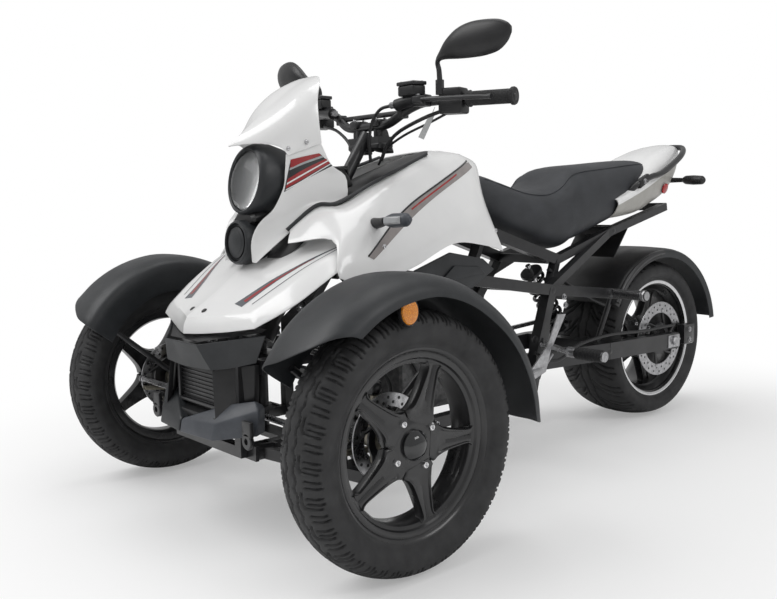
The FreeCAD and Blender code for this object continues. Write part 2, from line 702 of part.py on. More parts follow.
# ---- bodywork -----------------------------------------------------------------------------------
def front_bumper():
    """The black lower cowl: top flap, recessed body and skid, with two tow lugs."""
    body = loft([[front(-120, -196, 250), front(120, -196, 250), front(112, -176, 384),
                  front(-112, -176, 384)],
                 [front(-168, -118, 262), front(168, -118, 262), front(168, -118, 392),
                  front(-168, -118, 392)]])
    recess = Part.makeBox(150, 26, 96, front(-75, -206, 268))
    flap = loft([[front(-70, -206, 432), front(70, -206, 432), front(100, -186, 372),
                  front(-100, -186, 372)],
                 [front(-214, -118, 448), front(214, -118, 448), front(170, -118, 384),
                  front(-170, -118, 384)]])
    skid = loft([[front(-70, -212, 226), front(70, -212, 226), front(70, -200, 262),
                  front(-70, -200, 262)],
                 [front(-214, -138, 240), front(214, -138, 240), front(214, -138, 310),
                  front(-214, -138, 310)]])
    shape = fuse([body.cut(recess), flap, skid])
    back = Part.makeBox(300, 60, 200, front(-150, -164, 250))
    lugs = []
    for side in (-1, 1):
        eye = front(side * LUG_X, -LUG_Y, LUG_Z)
        thick = V(0, LUG_T, 0)
        lugs.append(rod(eye, eye + thick, LUG_R))
        lugs.append(Part.makeBox(2 * LUG_R, LUG_T, 60, eye - V(LUG_R, 0, 0)))
        lugs.append(Part.makeBox(2 * LUG_R, 40, 30, eye + V(-LUG_R, LUG_T, 30)))
    shape = fuse([shape.cut(back).cut(front_subframe())] + lugs)
    for side in (-1, 1):
        eye = front(side * LUG_X, -LUG_Y, LUG_Z)
        shape = shape.cut(rod(eye - V(0, 5, 0), eye + V(0, 80, 0), LUG_HOLE_R))
    return largest(shape)


def nose_cowl():
    """The white nose: a flat-topped bill with side walls, wider as it rises under the mask."""
    stations = [
        [(-196, -141, 460), (-180, -130, 478), (0, -197, 446), (180, -130, 478), (196, -141, 460)],
        [(-202, -130, 474), (-180, -122, 503), (0, -185, 482), (180, -122, 503), (202, -130, 474)],
        [(-236, -80, 506), (-197, -60, 545), (0, -60, 567), (197, -60, 545), (236, -80, 506)],
        [(-250, -10, 552), (-210, 10, 588), (0, 10, 616), (210, 10, 588), (250, -10, 552)],
        [(-246, 92, 598), (-220, 92, 628), (0, 92, 660), (220, 92, 628), (246, 92, 598)],
    ]
    lines = []
    for row in range(5):
        lines.append([front(*station[row]) for station in stations])
    return panel(lines, PANEL_T, lambda point: V(0, 40, -100))


def side_panel(side):
    """Tank cover and side of the body on one side, in one sheet."""
    stations = [
        [(96, 24, 672), (104, 22, 662), (112, 14, 652), (120, 6, 644), (124, 2, 636)],
        [(112, 90, 716), (150, 86, 700), (186, 78, 676), (206, 66, 652), (214, 60, 642)],
        [(132, 140, 716), (182, 134, 704), (218, 120, 668), (250, 70, 608), (262, 44, 560)],
        [(122, 240, 760), (176, 236, 740), (214, 226, 680), (246, 210, 604), (250, 200, 560)],
        [(112, 320, 790), (160, 320, 772), (200, 312, 700), (230, 300, 620), (226, 290, 572)],
        [(86, 450, 836), (130, 450, 816), (170, 446, 750), (200, 440, 668), (200, 436, 616)],
        [(3, 545, 853), (96, 556, 836), (136, 560, 780), (172, 560, 690), (180, 560, 606)],
        [(3, 652, 846), (84, 630, 816), (122, 610, 760), (152, 600, 705), (174, 640, 588)],
    ]
    lines = []
    for row in range(5):
        lines.append([front(side * station[row][0], station[row][1], station[row][2])
                      for station in stations])
    sheet = panel(lines, PANEL_T, to_middle)
    half = Part.makeBox(400, 1200, 1200, front(SEAM / 2 if side > 0 else -400 - SEAM / 2, -100, 0))
    return sheet.common(half)


def dash_panel():
    """The dark tray between the side panels, ahead of the rider."""
    stations = [
        [(-90, 150, 700), (0, 150, 690), (90, 150, 700)],
        [(-96, 260, 740), (0, 260, 716), (96, 260, 740)],
        [(-92, 360, 780), (0, 360, 752), (92, 360, 780)],
        [(-70, 450, 816), (0, 450, 806), (70, 450, 816)],
        [(-44, 528, 842), (0, 528, 838), (44, 528, 842)],
    ]
    lines = []
    for row in range(3):
        lines.append([front(*station[row]) for station in stations])
    tray = panel(lines, PANEL_T, lambda point: V(0, 0, -1))
    top = front(*COLUMN_TOP)
    foot = front(*COLUMN_FOOT)
    return tray.cut(rod(foot, top, COLUMN_R + 20))


def lower_side_covers():
    """Grey covers under the side panels."""
    outline = [front(178, 320, 560), front(178, 440, 596), front(178, 560, 572), front(178, 600, 540),
               front(178, 520, 500), front(178, 380, 500)]
    return both(hull(outline, V(5, 0, 0)))


def headlight_mask():
    """The white mask: screen above, cheeks with a jaw below, open in front for the lamp."""
    stations = [
        [(-30, -58, 856), (-22, -66, 856), (0, -70, 856), (22, -66, 856), (30, -58, 856)],
        [(-78, 6, 872), (-56, -4, 890), (0, -12, 900), (56, -4, 890), (78, 6, 872)],
        [(-104, 80, 900), (-74, 70, 936), (0, 62, 958), (74, 70, 936), (104, 80, 900)],
        [(-112, 140, 900), (-84, 140, 980), (0, 140, 1012), (84, 140, 980), (112, 140, 900)],
    ]
    lines = []
    for row in range(5):
        lines.append([front(*station[row]) for station in stations])
    screen = panel(lines, PANEL_T, lambda point: V(0, 60, -60))
    cheeks = []
    for side in (-1, 1):
        rows = [
            [(70, -8, 872), (96, 60, 886), (118, 130, 892)],
            [(78, 0, 800), (104, 60, 800), (124, 136, 800)],
            [(66, 4, 716), (88, 56, 712), (106, 116, 730)],
            [(60, -30, 660), (68, 0, 668), (78, 30, 684)],
            [(56, -44, 596), (60, -36, 596), (66, -28, 596)],
        ]
        grid = [[front(side * x, y, z) for x, y, z in row] for row in rows]
        cheeks.append(panel(grid, PANEL_T, lambda point: V(-point.x, 0, 0)))
    return fuse([screen] + cheeks)


def headlight():
    """The oval black lamp body with its lens, in the mask."""
    rings = []
    for y, scale in ((-46, 0.86), (0, 1.0), (60, 1.0), (96, 0.7)):
        ring = []
        for step in range(16):
            angle = math.radians(22.5 * step)
            ring.append(front(62 * scale * math.cos(angle), y - 18 + (0 if y > 0 else 14 * math.sin(angle)),
                              776 + 78 * scale * math.sin(angle)))
        rings.append(ring)
    return loft(rings)


def lower_lamp_housing():
    """The round black housing under the headlight, on the nose."""
    housing = fuse([rod(front(0, -62, 636), front(0, 20, 636), 50),
                    Part.makeBox(88, 60, 60, front(-44, -50, 576))])
    return largest(housing.cut(nose_cowl()))


def seat():
    """The stepped one-piece seat, as one closed solid."""
    stations = [
        (front(0, 640, 0), 60, 700, 792),
        (front(0, 720, 0), 96, 650, 786),
        (front(0, 830, 0), 122, 600, 748),
        (front(0, 940, 0), 132, 570, 762),
        (rear(0, -430, 0), 132, 590, 806),
        (rear(0, -250, 0), 122, 640, 824),
        (rear(0, -60, 0), 100, 690, 836),
        (rear(0, -10, 0), 80, 740, 824),
    ]
    outlines = []
    for place, half, low, high in stations:
        edge = (high - low) * 0.25
        outlines.append([V(x, place.y, z) for x, z in (
            (-half * 0.8, low), (half * 0.8, low), (half, high - edge), (half * 0.72, high),
            (-half * 0.72, high), (-half, high - edge))])
    return loft(outlines)


def tail_cowl():
    """The white tail behind and beside the seat."""
    outlines = []
    for y, half, low, high in ((-250, 136, 652, 690), (-120, 128, 664, 760), (0, 112, 690, 850),
                               (110, 84, 730, 884), (190, 56, 800, 890)):
        mid = (low + high) / 2
        outlines.append([rear(x, y, z) for x, z in (
            (-half * 0.6, low), (half * 0.6, low), (half, mid), (half * 0.7, high),
            (-half * 0.7, high), (-half, mid))])
    return largest(loft(outlines).cut(seat()).cut(main_frame()))


def grab_rail():
    """A bent rail round the tail for the passenger's hands."""
    points = [rear(96, -190, 706), rear(134, -150, 760), rear(132, -40, 786), rear(112, 80, 832),
              rear(70, 207, 878)]
    line = points + [V(-p.x, p.y, p.z) for p in reversed(points)]
    return largest(bent_rod(line, 9, 24).cut(tail_cowl()).cut(seat()))


def tail_light():
    """The red tail light below the tail's end."""
    return hull([rear(-36, 190, 806), rear(36, 190, 806), rear(32, 190, 846), rear(-32, 190, 846)],
                V(0, 12, 0))


def turn_signals():
    """Front and rear turn signals on their stalks."""
    ahead = fuse([rod(front(214, 178, 672), front(286, 168, 682), 10),
                  rod(front(286, 130, 682), front(286, 208, 680), 20)])
    ahead = largest(ahead.cut(side_panel(1)))
    behind = fuse([rod(rear(50, 130, 770), rear(120, 130, 768), 8),
                   rod(rear(112, 130, 768), rear(188, 130, 766), 16)])
    behind = largest(behind.cut(tail_cowl()))
    pieces = []
    for lamp in (ahead, behind):
        pieces.extend([lamp, mirrored(lamp)])
    return Part.makeCompound(pieces)


# ---- writing the pieces -------------------------------------------------------------------------
def all_pieces():
    """Every node's name and shape."""
    pieces = {
        "main_frame": main_frame(),
        "front_subframe": front_subframe(),
        "engine": engine(),
        "exhaust": exhaust(),
        "control_arms": control_arms(),
        "front_shocks": front_shocks(),
        "swingarm": swingarm(),
        "rear_shock": rear_shock(),
        "drive_chain": drive_chain(),
        "footpegs": footpegs(),
        "rear_fender": rear_fender(),
        "plate_bracket": plate_bracket(),
        "front_bumper": front_bumper(),
        "nose_cowl": nose_cowl(),
        "left_side_panel": side_panel(1),
        "right_side_panel": side_panel(-1),
        "dash_panel": dash_panel(),
        "lower_side_covers": lower_side_covers(),
        "headlight_mask": headlight_mask(),
        "headlight": headlight(),
        "lower_lamp_housing": lower_lamp_housing(),
        "seat": seat(),
        "tail_cowl": tail_cowl(),
        "grab_rail": grab_rail(),
        "tail_light": tail_light(),
        "turn_signals": turn_signals(),
        "steering_relay": steering_relay(),
        "steering_column": steering_column(),
        "handlebar": handlebar(),
        "grips": grips(),
        "handlebar_controls": handlebar_controls(),
        "mirrors": mirrors(),
    }
    for name, side in (("left", 1), ("right", -1)):
        wheel, rubber, brake = front_wheel(side)
        pieces[name + "_rim"] = wheel
        pieces[name + "_tyre"] = rubber
        pieces[name + "_disc"] = brake
        pieces[name + "_knuckle"] = knuckle(side)
        pieces[name + "_fender"] = fender(side)
        pieces[name + "_tie_rod"] = tie_rod(side)
    wheel, rubber, brake, gear = rear_wheel()
    pieces["rear_rim"] = wheel
    pieces["rear_tyre"] = rubber
    pieces["rear_disc"] = brake
    pieces["rear_sprocket"] = gear
    return pieces


os.makedirs("parts", exist_ok=True)
for node, shape in all_pieces().items():
    shape.exportStep("parts/" + node + ".step")
    print(node, len(shape.Solids), round(shape.Volume / 1e6, 3), shape.isValid())
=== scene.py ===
"""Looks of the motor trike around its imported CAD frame."""
import math
import bmesh
import bpy
import numpy as np
from mathutils import Matrix, Vector
from mathutils.bvhtree import BVHTree

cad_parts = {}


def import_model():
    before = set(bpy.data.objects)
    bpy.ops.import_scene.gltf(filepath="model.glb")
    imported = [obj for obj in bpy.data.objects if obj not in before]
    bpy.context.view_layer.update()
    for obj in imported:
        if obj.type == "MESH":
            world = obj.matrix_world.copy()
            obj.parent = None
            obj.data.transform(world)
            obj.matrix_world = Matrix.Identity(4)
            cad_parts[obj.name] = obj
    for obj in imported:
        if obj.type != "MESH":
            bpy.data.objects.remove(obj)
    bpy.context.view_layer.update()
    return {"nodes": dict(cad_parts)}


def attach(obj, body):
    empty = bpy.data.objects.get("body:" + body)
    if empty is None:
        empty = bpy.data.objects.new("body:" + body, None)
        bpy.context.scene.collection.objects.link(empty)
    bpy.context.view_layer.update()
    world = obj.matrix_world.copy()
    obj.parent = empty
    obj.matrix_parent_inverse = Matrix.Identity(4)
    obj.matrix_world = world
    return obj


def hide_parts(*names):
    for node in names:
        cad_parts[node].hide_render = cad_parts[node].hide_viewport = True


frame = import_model()
nodes = frame["nodes"]

WHEELBASE = 1.4425
FRONT_Y = -0.74275
REAR_Y = FRONT_Y + WHEELBASE
HALF_TRACK = 0.501
FRONT_AXLE_Z = 0.262
REAR_AXLE_Z = 0.258
SIDES = ((1, "left"), (-1, "right"))


def front(x, y, z):
    """A point given in millimetres from the front axle's station."""
    return Vector((x / 1000, FRONT_Y + y / 1000, z / 1000))


def rear(x, y, z):
    """A point given in millimetres from the rear axle's station."""
    return Vector((x / 1000, REAR_Y + y / 1000, z / 1000))


def sided(points, side=1):
    """Points from the front axle's station, mirrored when side is -1."""
    return [front(side * x, y, z) for x, y, z in points]


def rear_sided(points, side=1):
    """Points from the rear axle's station, mirrored when side is -1."""
    return [rear(side * x, y, z) for x, y, z in points]


# ---- materials ----------------------------------------------------------------------------------
def new_material(name):
    mat = bpy.data.materials.new(name)
    mat.use_nodes = True
    tree = mat.node_tree
    bsdf = tree.nodes["Principled BSDF"]
    return mat, tree, bsdf


def add(tree, kind, **values):
    node = tree.nodes.new(kind)
    for key, value in values.items():
        setattr(node, key, value)
    return node


def coords(tree):
    return add(tree, "ShaderNodeTexCoord").outputs["Object"]


def noise(tree, scale, detail=4.0, rough=0.55, vector=None):
    node = add(tree, "ShaderNodeTexNoise")
    node.inputs["Scale"].default_value = scale
    node.inputs["Detail"].default_value = detail
    node.inputs["Roughness"].default_value = rough
    tree.links.new(vector or coords(tree), node.inputs["Vector"])
    return node.outputs["Fac"]


def ramp(tree, fac, stops):
    node = add(tree, "ShaderNodeValToRGB")
    band = node.color_ramp
    while len(band.elements) < len(stops):
        band.elements.new(0.5)
    for element, (place, colour) in zip(band.elements, stops):
        element.position = place
        if not isinstance(colour, tuple):
            colour = (colour, colour, colour)
        element.color = colour + (1.0,)
    tree.links.new(fac, node.inputs["Fac"])
    return node.outputs["Color"]


def bump(tree, height, strength, distance, before=None):
    node = add(tree, "ShaderNodeBump")
    node.inputs["Strength"].default_value = strength
    node.inputs["Distance"].default_value = distance
    tree.links.new(height, node.inputs["Height"])
    if before is not None:
        tree.links.new(before, node.inputs["Normal"])
    return node.outputs["Normal"]


def surface(name, low, high, rough, scale=60.0, metallic=0.0, grain=0.0, grain_scale=900.0, coat=0.0,
        coat_rough=0.05, specular=0.5):
    """A procedural surface: colour and roughness vary softly, with an optional fine grain."""
    mat, tree, bsdf = new_material(name)
    fac = noise(tree, scale)
    tree.links.new(ramp(tree, fac, ((0.3, low), (0.7, high))), bsdf.inputs["Base Color"])
    soft = noise(tree, scale * 0.4, 3.0)
    tree.links.new(ramp(tree, soft, ((0.3, rough[0]), (0.7, rough[1]))), bsdf.inputs["Roughness"])
    bsdf.inputs["Metallic"].default_value = metallic
    bsdf.inputs["Specular IOR Level"].default_value = specular
    bsdf.inputs["Coat Weight"].default_value = coat
    bsdf.inputs["Coat Roughness"].default_value = coat_rough
    if grain:
        tree.links.new(bump(tree, noise(tree, grain_scale, 2.0), 0.6, grain), bsdf.inputs["Normal"])
    return mat


def lacquer():
    return surface("white_lacquer", (0.80, 0.80, 0.80), (0.86, 0.86, 0.855), (0.16, 0.24), 7.0, coat=0.6,
        coat_rough=0.04, grain=0.00002, grain_scale=500.0)


def moulded_grey():
    return surface("moulded_grey", (0.014, 0.016, 0.018), (0.024, 0.026, 0.029), (0.38, 0.5), 24.0,
        grain=0.00025, grain_scale=1400.0)


def moulded_black():
    return surface("moulded_black", (0.008, 0.008, 0.009), (0.016, 0.016, 0.017), (0.32, 0.46), 30.0,
        grain=0.00015, grain_scale=1600.0)


def black_paint():
    return surface("black_paint", (0.010, 0.010, 0.011), (0.018, 0.018, 0.02), (0.28, 0.42), 40.0,
        grain=0.0001, grain_scale=500.0, coat=0.25, coat_rough=0.2)


def gloss_black():
    return surface("gloss_black", (0.006, 0.006, 0.007), (0.011, 0.011, 0.012), (0.14, 0.22), 20.0, coat=0.5,
        coat_rough=0.06)


def cast_metal():
    return surface("cast_metal", (0.05, 0.05, 0.052), (0.12, 0.12, 0.12), (0.45, 0.62), 90.0, 0.6,
        grain=0.0006, grain_scale=420.0)


def knuckle_metal():
    return surface("knuckle_metal", (0.16, 0.15, 0.12), (0.3, 0.28, 0.23), (0.35, 0.55), 60.0, 0.8,
        grain=0.0006, grain_scale=380.0)


def steel():
    return surface("steel", (0.32, 0.32, 0.33), (0.52, 0.52, 0.53), (0.22, 0.36), 120.0, 1.0, grain=0.0001,
        grain_scale=1500.0)


def rubber_tyre():
    return surface("tyre_rubber", (0.014, 0.014, 0.015), (0.028, 0.028, 0.029), (0.55, 0.75), 34.0,
        grain=0.0003, grain_scale=900.0)


def rubber_grip():
    return surface("grip_rubber", (0.010, 0.010, 0.011), (0.018, 0.018, 0.019), (0.55, 0.7), 50.0,
        grain=0.0003, grain_scale=1200.0)


def vinyl():
    mat, tree, bsdf = new_material("seat_vinyl")
    fac = noise(tree, 18.0, 5.0)
    tree.links.new(ramp(tree, fac, ((0.3, (0.020, 0.022, 0.026)), (0.7, (0.036, 0.039, 0.045)))),
        bsdf.inputs["Base Color"])
    tree.links.new(ramp(tree, noise(tree, 8.0), ((0.3, 0.42), (0.7, 0.56))), bsdf.inputs["Roughness"])
    cells = add(tree, "ShaderNodeTexVoronoi", feature="DISTANCE_TO_EDGE")
    cells.inputs["Scale"].default_value = 520.0
    tree.links.new(coords(tree), cells.inputs["Vector"])
    grain = ramp(tree, cells.outputs["Distance"], ((0.0, 0.0), (0.12, 1.0)))
    tree.links.new(bump(tree, grain, 0.5, 0.0004), bsdf.inputs["Normal"])
    return mat


def red_lens():
    return surface("red_lens", (0.35, 0.008, 0.010), (0.5, 0.015, 0.016), (0.08, 0.14), 40.0, coat=0.6,
        coat_rough=0.03)


def rim_paint():
    return surface("rim_paint", (0.010, 0.010, 0.011), (0.017, 0.017, 0.018), (0.24, 0.36), 30.0, coat=0.35,
        coat_rough=0.12, grain=0.00006, grain_scale=700.0)


def gloss_cap():
    return surface("gloss_cap", (0.006, 0.007, 0.008), (0.009, 0.010, 0.011), (0.05, 0.09), 20.0, coat=0.8,
        coat_rough=0.02)


def chrome():
    return surface("chrome", (0.62, 0.62, 0.63), (0.72, 0.72, 0.73), (0.08, 0.16), 60.0, 1.0)


def mirror_bowl():
    return surface("mirror_bowl", (0.55, 0.54, 0.52), (0.68, 0.67, 0.65), (0.10, 0.2), 90.0, 1.0,
        grain=0.0004, grain_scale=160.0)


def clear_lens():
    mat, tree, bsdf = new_material("clear_lens")
    tree.links.new(ramp(tree, noise(tree, 12.0), ((0.3, (0.94, 0.95, 0.95)), (0.7, (0.98, 0.98, 0.98)))),
        bsdf.inputs["Base Color"])
    bsdf.inputs["Transmission Weight"].default_value = 1.0
    bsdf.inputs["Roughness"].default_value = 0.03
    bsdf.inputs["IOR"].default_value = 1.2
    return mat


def amber_lens():
    mat, tree, bsdf = new_material("amber_lens")
    cells = add(tree, "ShaderNodeTexVoronoi", feature="DISTANCE_TO_EDGE")
    cells.inputs["Scale"].default_value = 260.0
    tree.links.new(coords(tree), cells.inputs["Vector"])
    fac = ramp(tree, cells.outputs["Distance"], ((0.0, 0.0), (0.3, 1.0)))
    tree.links.new(ramp(tree, fac, ((0.0, (0.55, 0.16, 0.01)), (1.0, (0.80, 0.30, 0.015)))),
        bsdf.inputs["Base Color"])
    tree.links.new(bump(tree, fac, 0.6, 0.0006), bsdf.inputs["Normal"])
    bsdf.inputs["Roughness"].default_value = 0.18
    bsdf.inputs["Coat Weight"].default_value = 0.8
    return mat


def moulded_blue_grey():
    return surface("moulded_blue_grey", (0.045, 0.05, 0.06), (0.07, 0.077, 0.09), (0.36, 0.48), 24.0,
        grain=0.0002, grain_scale=1400.0)


# painted shade: white plastic coloured a darker warm grey for the tail's shaded underside
def underside_shade():
    return surface("underside_shade", (0.36, 0.35, 0.325), (0.44, 0.43, 0.40), (0.3, 0.42), 16.0, grain=0.0001,
        grain_scale=1200.0)


def alloy():
    return surface("alloy", (0.36, 0.36, 0.37), (0.56, 0.56, 0.57), (0.3, 0.42), 90.0, 1.0, grain=0.0002,
        grain_scale=700.0)


def mirror_glass():
    return surface("mirror_glass", (0.66, 0.68, 0.7), (0.7, 0.72, 0.74), (0.02, 0.05), 30.0, 1.0)


def film(name, colour):
    """Printed film under clear lacquer, also used for the painted shade inside the side covers' groove."""
    darker = tuple(c * 0.82 for c in colour)
    return surface(name, darker, colour, (0.2, 0.28), 40.0, coat=0.5, coat_rough=0.06)


# each finish: its material and its record slot, or None where it has none
FINISHES = {
    "white": (lacquer(), "body_white"),
    "grey": (moulded_grey(), "trim_grey"),
    "black": (moulded_black(), "trim_black"),
    "frame": (black_paint(), "frame_black"),
    "gloss": (gloss_black(), "lamp"),
    "cast": (cast_metal(), "engine_metal"),
    "knuckle": (knuckle_metal(), "cast_knuckle"),
    "steel": (steel(), "bare_steel"),
    "tyre": (rubber_tyre(), None),
    "grip": (rubber_grip(), None),
    "vinyl": (vinyl(), "seat_cover"),
    "red": (red_lens(), None),
    "rim": (rim_paint(), "rim_black"),
    "cap": (gloss_cap(), "rim_black"),
    "chrome": (chrome(), "chrome_bright"),
    "mirror": (mirror_bowl(), "chrome_bright"),
    "lens": (clear_lens(), "lamp"),
    "amber": (amber_lens(), "red_lens"),
    "blue_grey": (moulded_blue_grey(), "trim_grey"),
    "alloy": (alloy(), "bare_steel"),
    # painted shade: the tail's underside, white coloured darker for the shade it sits in
    "white_in_shade": (underside_shade(), "trim_grey"),
    "glass": (mirror_glass(), "chrome_bright"),
    "tag": (film("card_tag", (0.55, 0.56, 0.56)), "body_white"),
    "stripe_red": (film("stripe_red", (0.36, 0.012, 0.016)), "body_white"),
    "stripe_grey": (film("stripe_grey", (0.10, 0.11, 0.125)), "body_white"),
    "stripe_silver": (film("stripe_silver", (0.42, 0.43, 0.44)), "body_white"),
    "stripe_black": (film("stripe_black", (0.012, 0.012, 0.014)), "body_white"),
    # painted shade: the shaded floor of the side covers' groove, as a warm grey film
    "recess_shade": (film("recess_shade", (0.30, 0.27, 0.26)), "body_white"),
}

NODE_FINISH = {
    "white": ("nose_cowl", "left_side_panel", "right_side_panel", "headlight_mask", "tail_cowl"),
    "grey": ("rear_fender", "front_bumper", "lower_side_covers", "left_fender", "right_fender"),
    "black": ("plate_bracket", "dash_panel", "lower_lamp_housing", "turn_signals",
              "handlebar_controls", "mirrors"),
    "frame": ("main_frame", "front_subframe", "control_arms", "swingarm", "grab_rail",
              "steering_relay", "steering_column", "handlebar"),
    "gloss": ("front_shocks", "rear_shock", "exhaust", "headlight", "left_rim", "right_rim",
              "rear_rim"),
    "cast": ("engine",),
    "knuckle": ("left_knuckle", "right_knuckle"),
    "steel": ("drive_chain", "footpegs", "left_disc", "right_disc", "left_tie_rod",
              "right_tie_rod", "rear_disc", "rear_sprocket"),
    "tyre": ("left_tyre", "right_tyre", "rear_tyre"),
    "grip": ("grips",),
    "vinyl": ("seat",),
    "red": ("tail_light",),
}


def finish_nodes():
    """Every CAD node gets its procedural material."""
    for key, names in NODE_FINISH.items():
        for name in names:
            mesh = nodes[name].data
            mesh.materials.clear()
            mesh.materials.append(FINISHES[key][0])


# ---- mesh helpers -------------------------------------------------------------------------------
def link(name, mesh, finish, body):
    """Adds a mesh as a piece that rides on a body."""
    mat, slot = FINISHES[finish]
    mesh.materials.append(mat)
    obj = bpy.data.objects.new(name, mesh)
    bpy.context.scene.collection.objects.link(obj)
    mesh.polygons.foreach_set("use_smooth", [True] * len(mesh.polygons))
    mesh.update()
    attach(obj, body)
    return obj


def tidy_mesh(mesh, merge=0.00001):
    """Joins doubled points and turns every face outwards."""
    bm = bmesh.new()
    bm.from_mesh(mesh)
    bmesh.ops.remove_doubles(bm, verts=bm.verts, dist=merge)
    bmesh.ops.recalc_face_normals(bm, faces=bm.faces)
    bm.to_mesh(mesh)
    bm.free()
    mesh.update()


def apply_modifiers(obj):
    """Turns an object's modifiers into its mesh."""
    graph = bpy.context.evaluated_depsgraph_get()
    bpy.context.view_layer.update()
    mesh = bpy.data.meshes.new_from_object(obj.evaluated_get(graph))
    old = obj.data
    obj.modifiers.clear()
    obj.data = mesh
    bpy.data.meshes.remove(old)
    return obj


def sharpen(obj, degrees):
    """Smooth shading that keeps edges sharper than an angle."""
    mesh = obj.data
    bm = bmesh.new()
    bm.from_mesh(mesh)
    limit = math.radians(degrees)
    for edge in bm.edges:
        edge.smooth = len(edge.link_faces) == 2 and edge.calc_face_angle() < limit
    bm.to_mesh(mesh)
    bm.free()
    mesh.polygons.foreach_set("use_smooth", [True] * len(mesh.polygons))
    mesh.update()
    return obj


def catmull(points, steps):
    """Points on a smooth line through the given points, `steps` on each stretch."""
    line = []
    last = len(points) - 1
    for i in range(last):
        p1 = points[i]
        p2 = points[i + 1]
        p0 = points[i - 1] if i else p1 * 2 - p2
        p3 = points[i + 2] if i + 2 <= last else p2 * 2 - p1
        for step in range(steps):
            t = step / steps
            line.append(0.5 * ((2 * p1) + (p2 - p0) * t + (2 * p0 - 5 * p1 + 4 * p2 - p3) * t * t
                + (3 * p1 - p0 - 3 * p2 + p3) * t * t * t))
    line.append(points[-1].copy())
    return line


def lathe(name, profile, centre, body, mat, segments=96, closed=True, smooth_angle=35):
    """Spins (across, radius) points, in metres, about a line along X through the centre."""
    verts = []
    faces = []
    count = len(profile)
    for seg in range(segments):
        angle = 2 * math.pi * seg / segments
        for across, radius in profile:
            verts.append((centre.x + across, centre.y + radius * math.cos(angle),
                centre.z + radius * math.sin(angle)))
    span = count if closed else count - 1
    for seg in range(segments):
        after = (seg + 1) % segments
        for i in range(span):
            j = (i + 1) % count
            faces.append((seg * count + i, seg * count + j, after * count + j, after * count + i))
    mesh = bpy.data.meshes.new(name)
    mesh.from_pydata(verts, [], faces)
    tidy_mesh(mesh)
    return sharpen(link(name, mesh, mat, body), smooth_angle)


# ---- tyres --------------------------------------------------------------------------------------
def groove_depth(u, v, lines, period):
    """How near each (u, v) point is to the tread's lines, which repeat around the tyre: 1 on a line."""
    best = np.full(u.shape, 9.0)
    for line, half_width in lines:
        for (ua, va), (ub, vb) in zip(line, line[1:]):
            du = ub - ua
            dv = vb - va
            size = du * du + dv * dv
            for shift in (-period, 0.0, period):
                pu = u - ua - shift
                pv = v - va
                t = np.clip((pu * du + pv * dv) / size, 0, 1)
                gap = np.hypot(pu - t * du, pv - t * dv) / half_width
                best = np.minimum(best, gap)
    return np.clip(1.6 - best, 0, 1)


def tyre_piece(name, node, body, centre, profile, lines, repeats, around, across, depth):
    """A tyre with its tread cut in as real grooves."""
    half = [Vector((x, r, 0)) for x, r in profile]
    section = catmull(half, across)
    other = [Vector((-p.x, p.y, 0)) for p in reversed(section[:-1])]
    section = section + other
    middle = len(section) // 2
    spots = [0.0]
    for a, b in zip(section, section[1:]):
        spots.append(spots[-1] + (b - a).length)
    v = np.array(spots) - spots[middle]
    radius_top = section[middle].y
    period = 2 * math.pi * radius_top / repeats
    theta = np.arange(around) * (2 * math.pi / around)
    u = np.mod(theta * radius_top, period)
    uu, vv = np.meshgrid(u * 1000, v * 1000, indexing="ij")
    cut = groove_depth(uu, vv, lines, period * 1000) * depth
    cut[np.abs(vv) > profile_tread(lines)] = 0
    xs = np.array([p.x for p in section])
    rs = np.array([p.y for p in section])
    nx = np.gradient(rs)
    nr = -np.gradient(xs)
    size = np.hypot(nx, nr)
    nx = nx / size
    nr = nr / size
    if nr[middle] < 0:
        nx = -nx
        nr = -nr
    x = xs[None, :] - nx[None, :] * cut
    r = rs[None, :] - nr[None, :] * cut
    y = r * np.cos(theta)[:, None]
    z = r * np.sin(theta)[:, None]
    count = len(section)
    verts = np.stack([x + centre.x, y + centre.y, z + centre.z], axis=2).reshape(-1, 3)
    faces = []
    for ring in range(around):
        after = (ring + 1) % around
        for i in range(count):
            j = (i + 1) % count
            faces.append((ring * count + i, ring * count + j, after * count + j, after * count + i))
    mesh = bpy.data.meshes.new(name)
    mesh.from_pydata(verts.tolist(), [], faces)
    tidy_mesh(mesh)
    obj = sharpen(link(name, mesh, "tyre", body), 50)
    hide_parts(node)
    return obj


def profile_tread(lines):
    """How far from the middle the tread's lines reach."""
    return max(abs(v) for line, width in lines for u, v in line) + 2


def mirrored_lines(lines, shift):
    """The same tread lines on both sides, the second side moved round by a shift."""
    both = list(lines)
    for line, width in lines:
        both.append(([(u + shift, -v) for u, v in line], width))
    return both


FRONT_TREAD = mirrored_lines([
    ([(0, 8), (14, 15), (34, 9), (54, 15), (68.6, 8)], 1.7),
    ([(6, 25), (26, 22), (36, 28), (38, 62)], 1.9),
    ([(52, 34), (54, 66)], 1.8),
    ([(64, 36), (66, 68)], 1.8),
    ([(16, 34), (18, 66)], 1.8),
    ([(27, 36), (29, 68)], 1.8)], 34.3)
REAR_TREAD = mirrored_lines([
    ([(0, 12), (30, 18), (60, 12), (81, 12)], 2.2),
    ([(0, 20), (34, 46), (54, 84), (58, 108)], 2.4),
    ([(26, 26), (58, 54), (78, 90)], 2.2),
    ([(12, 50), (30, 78), (36, 104)], 2.2)], 40.5)


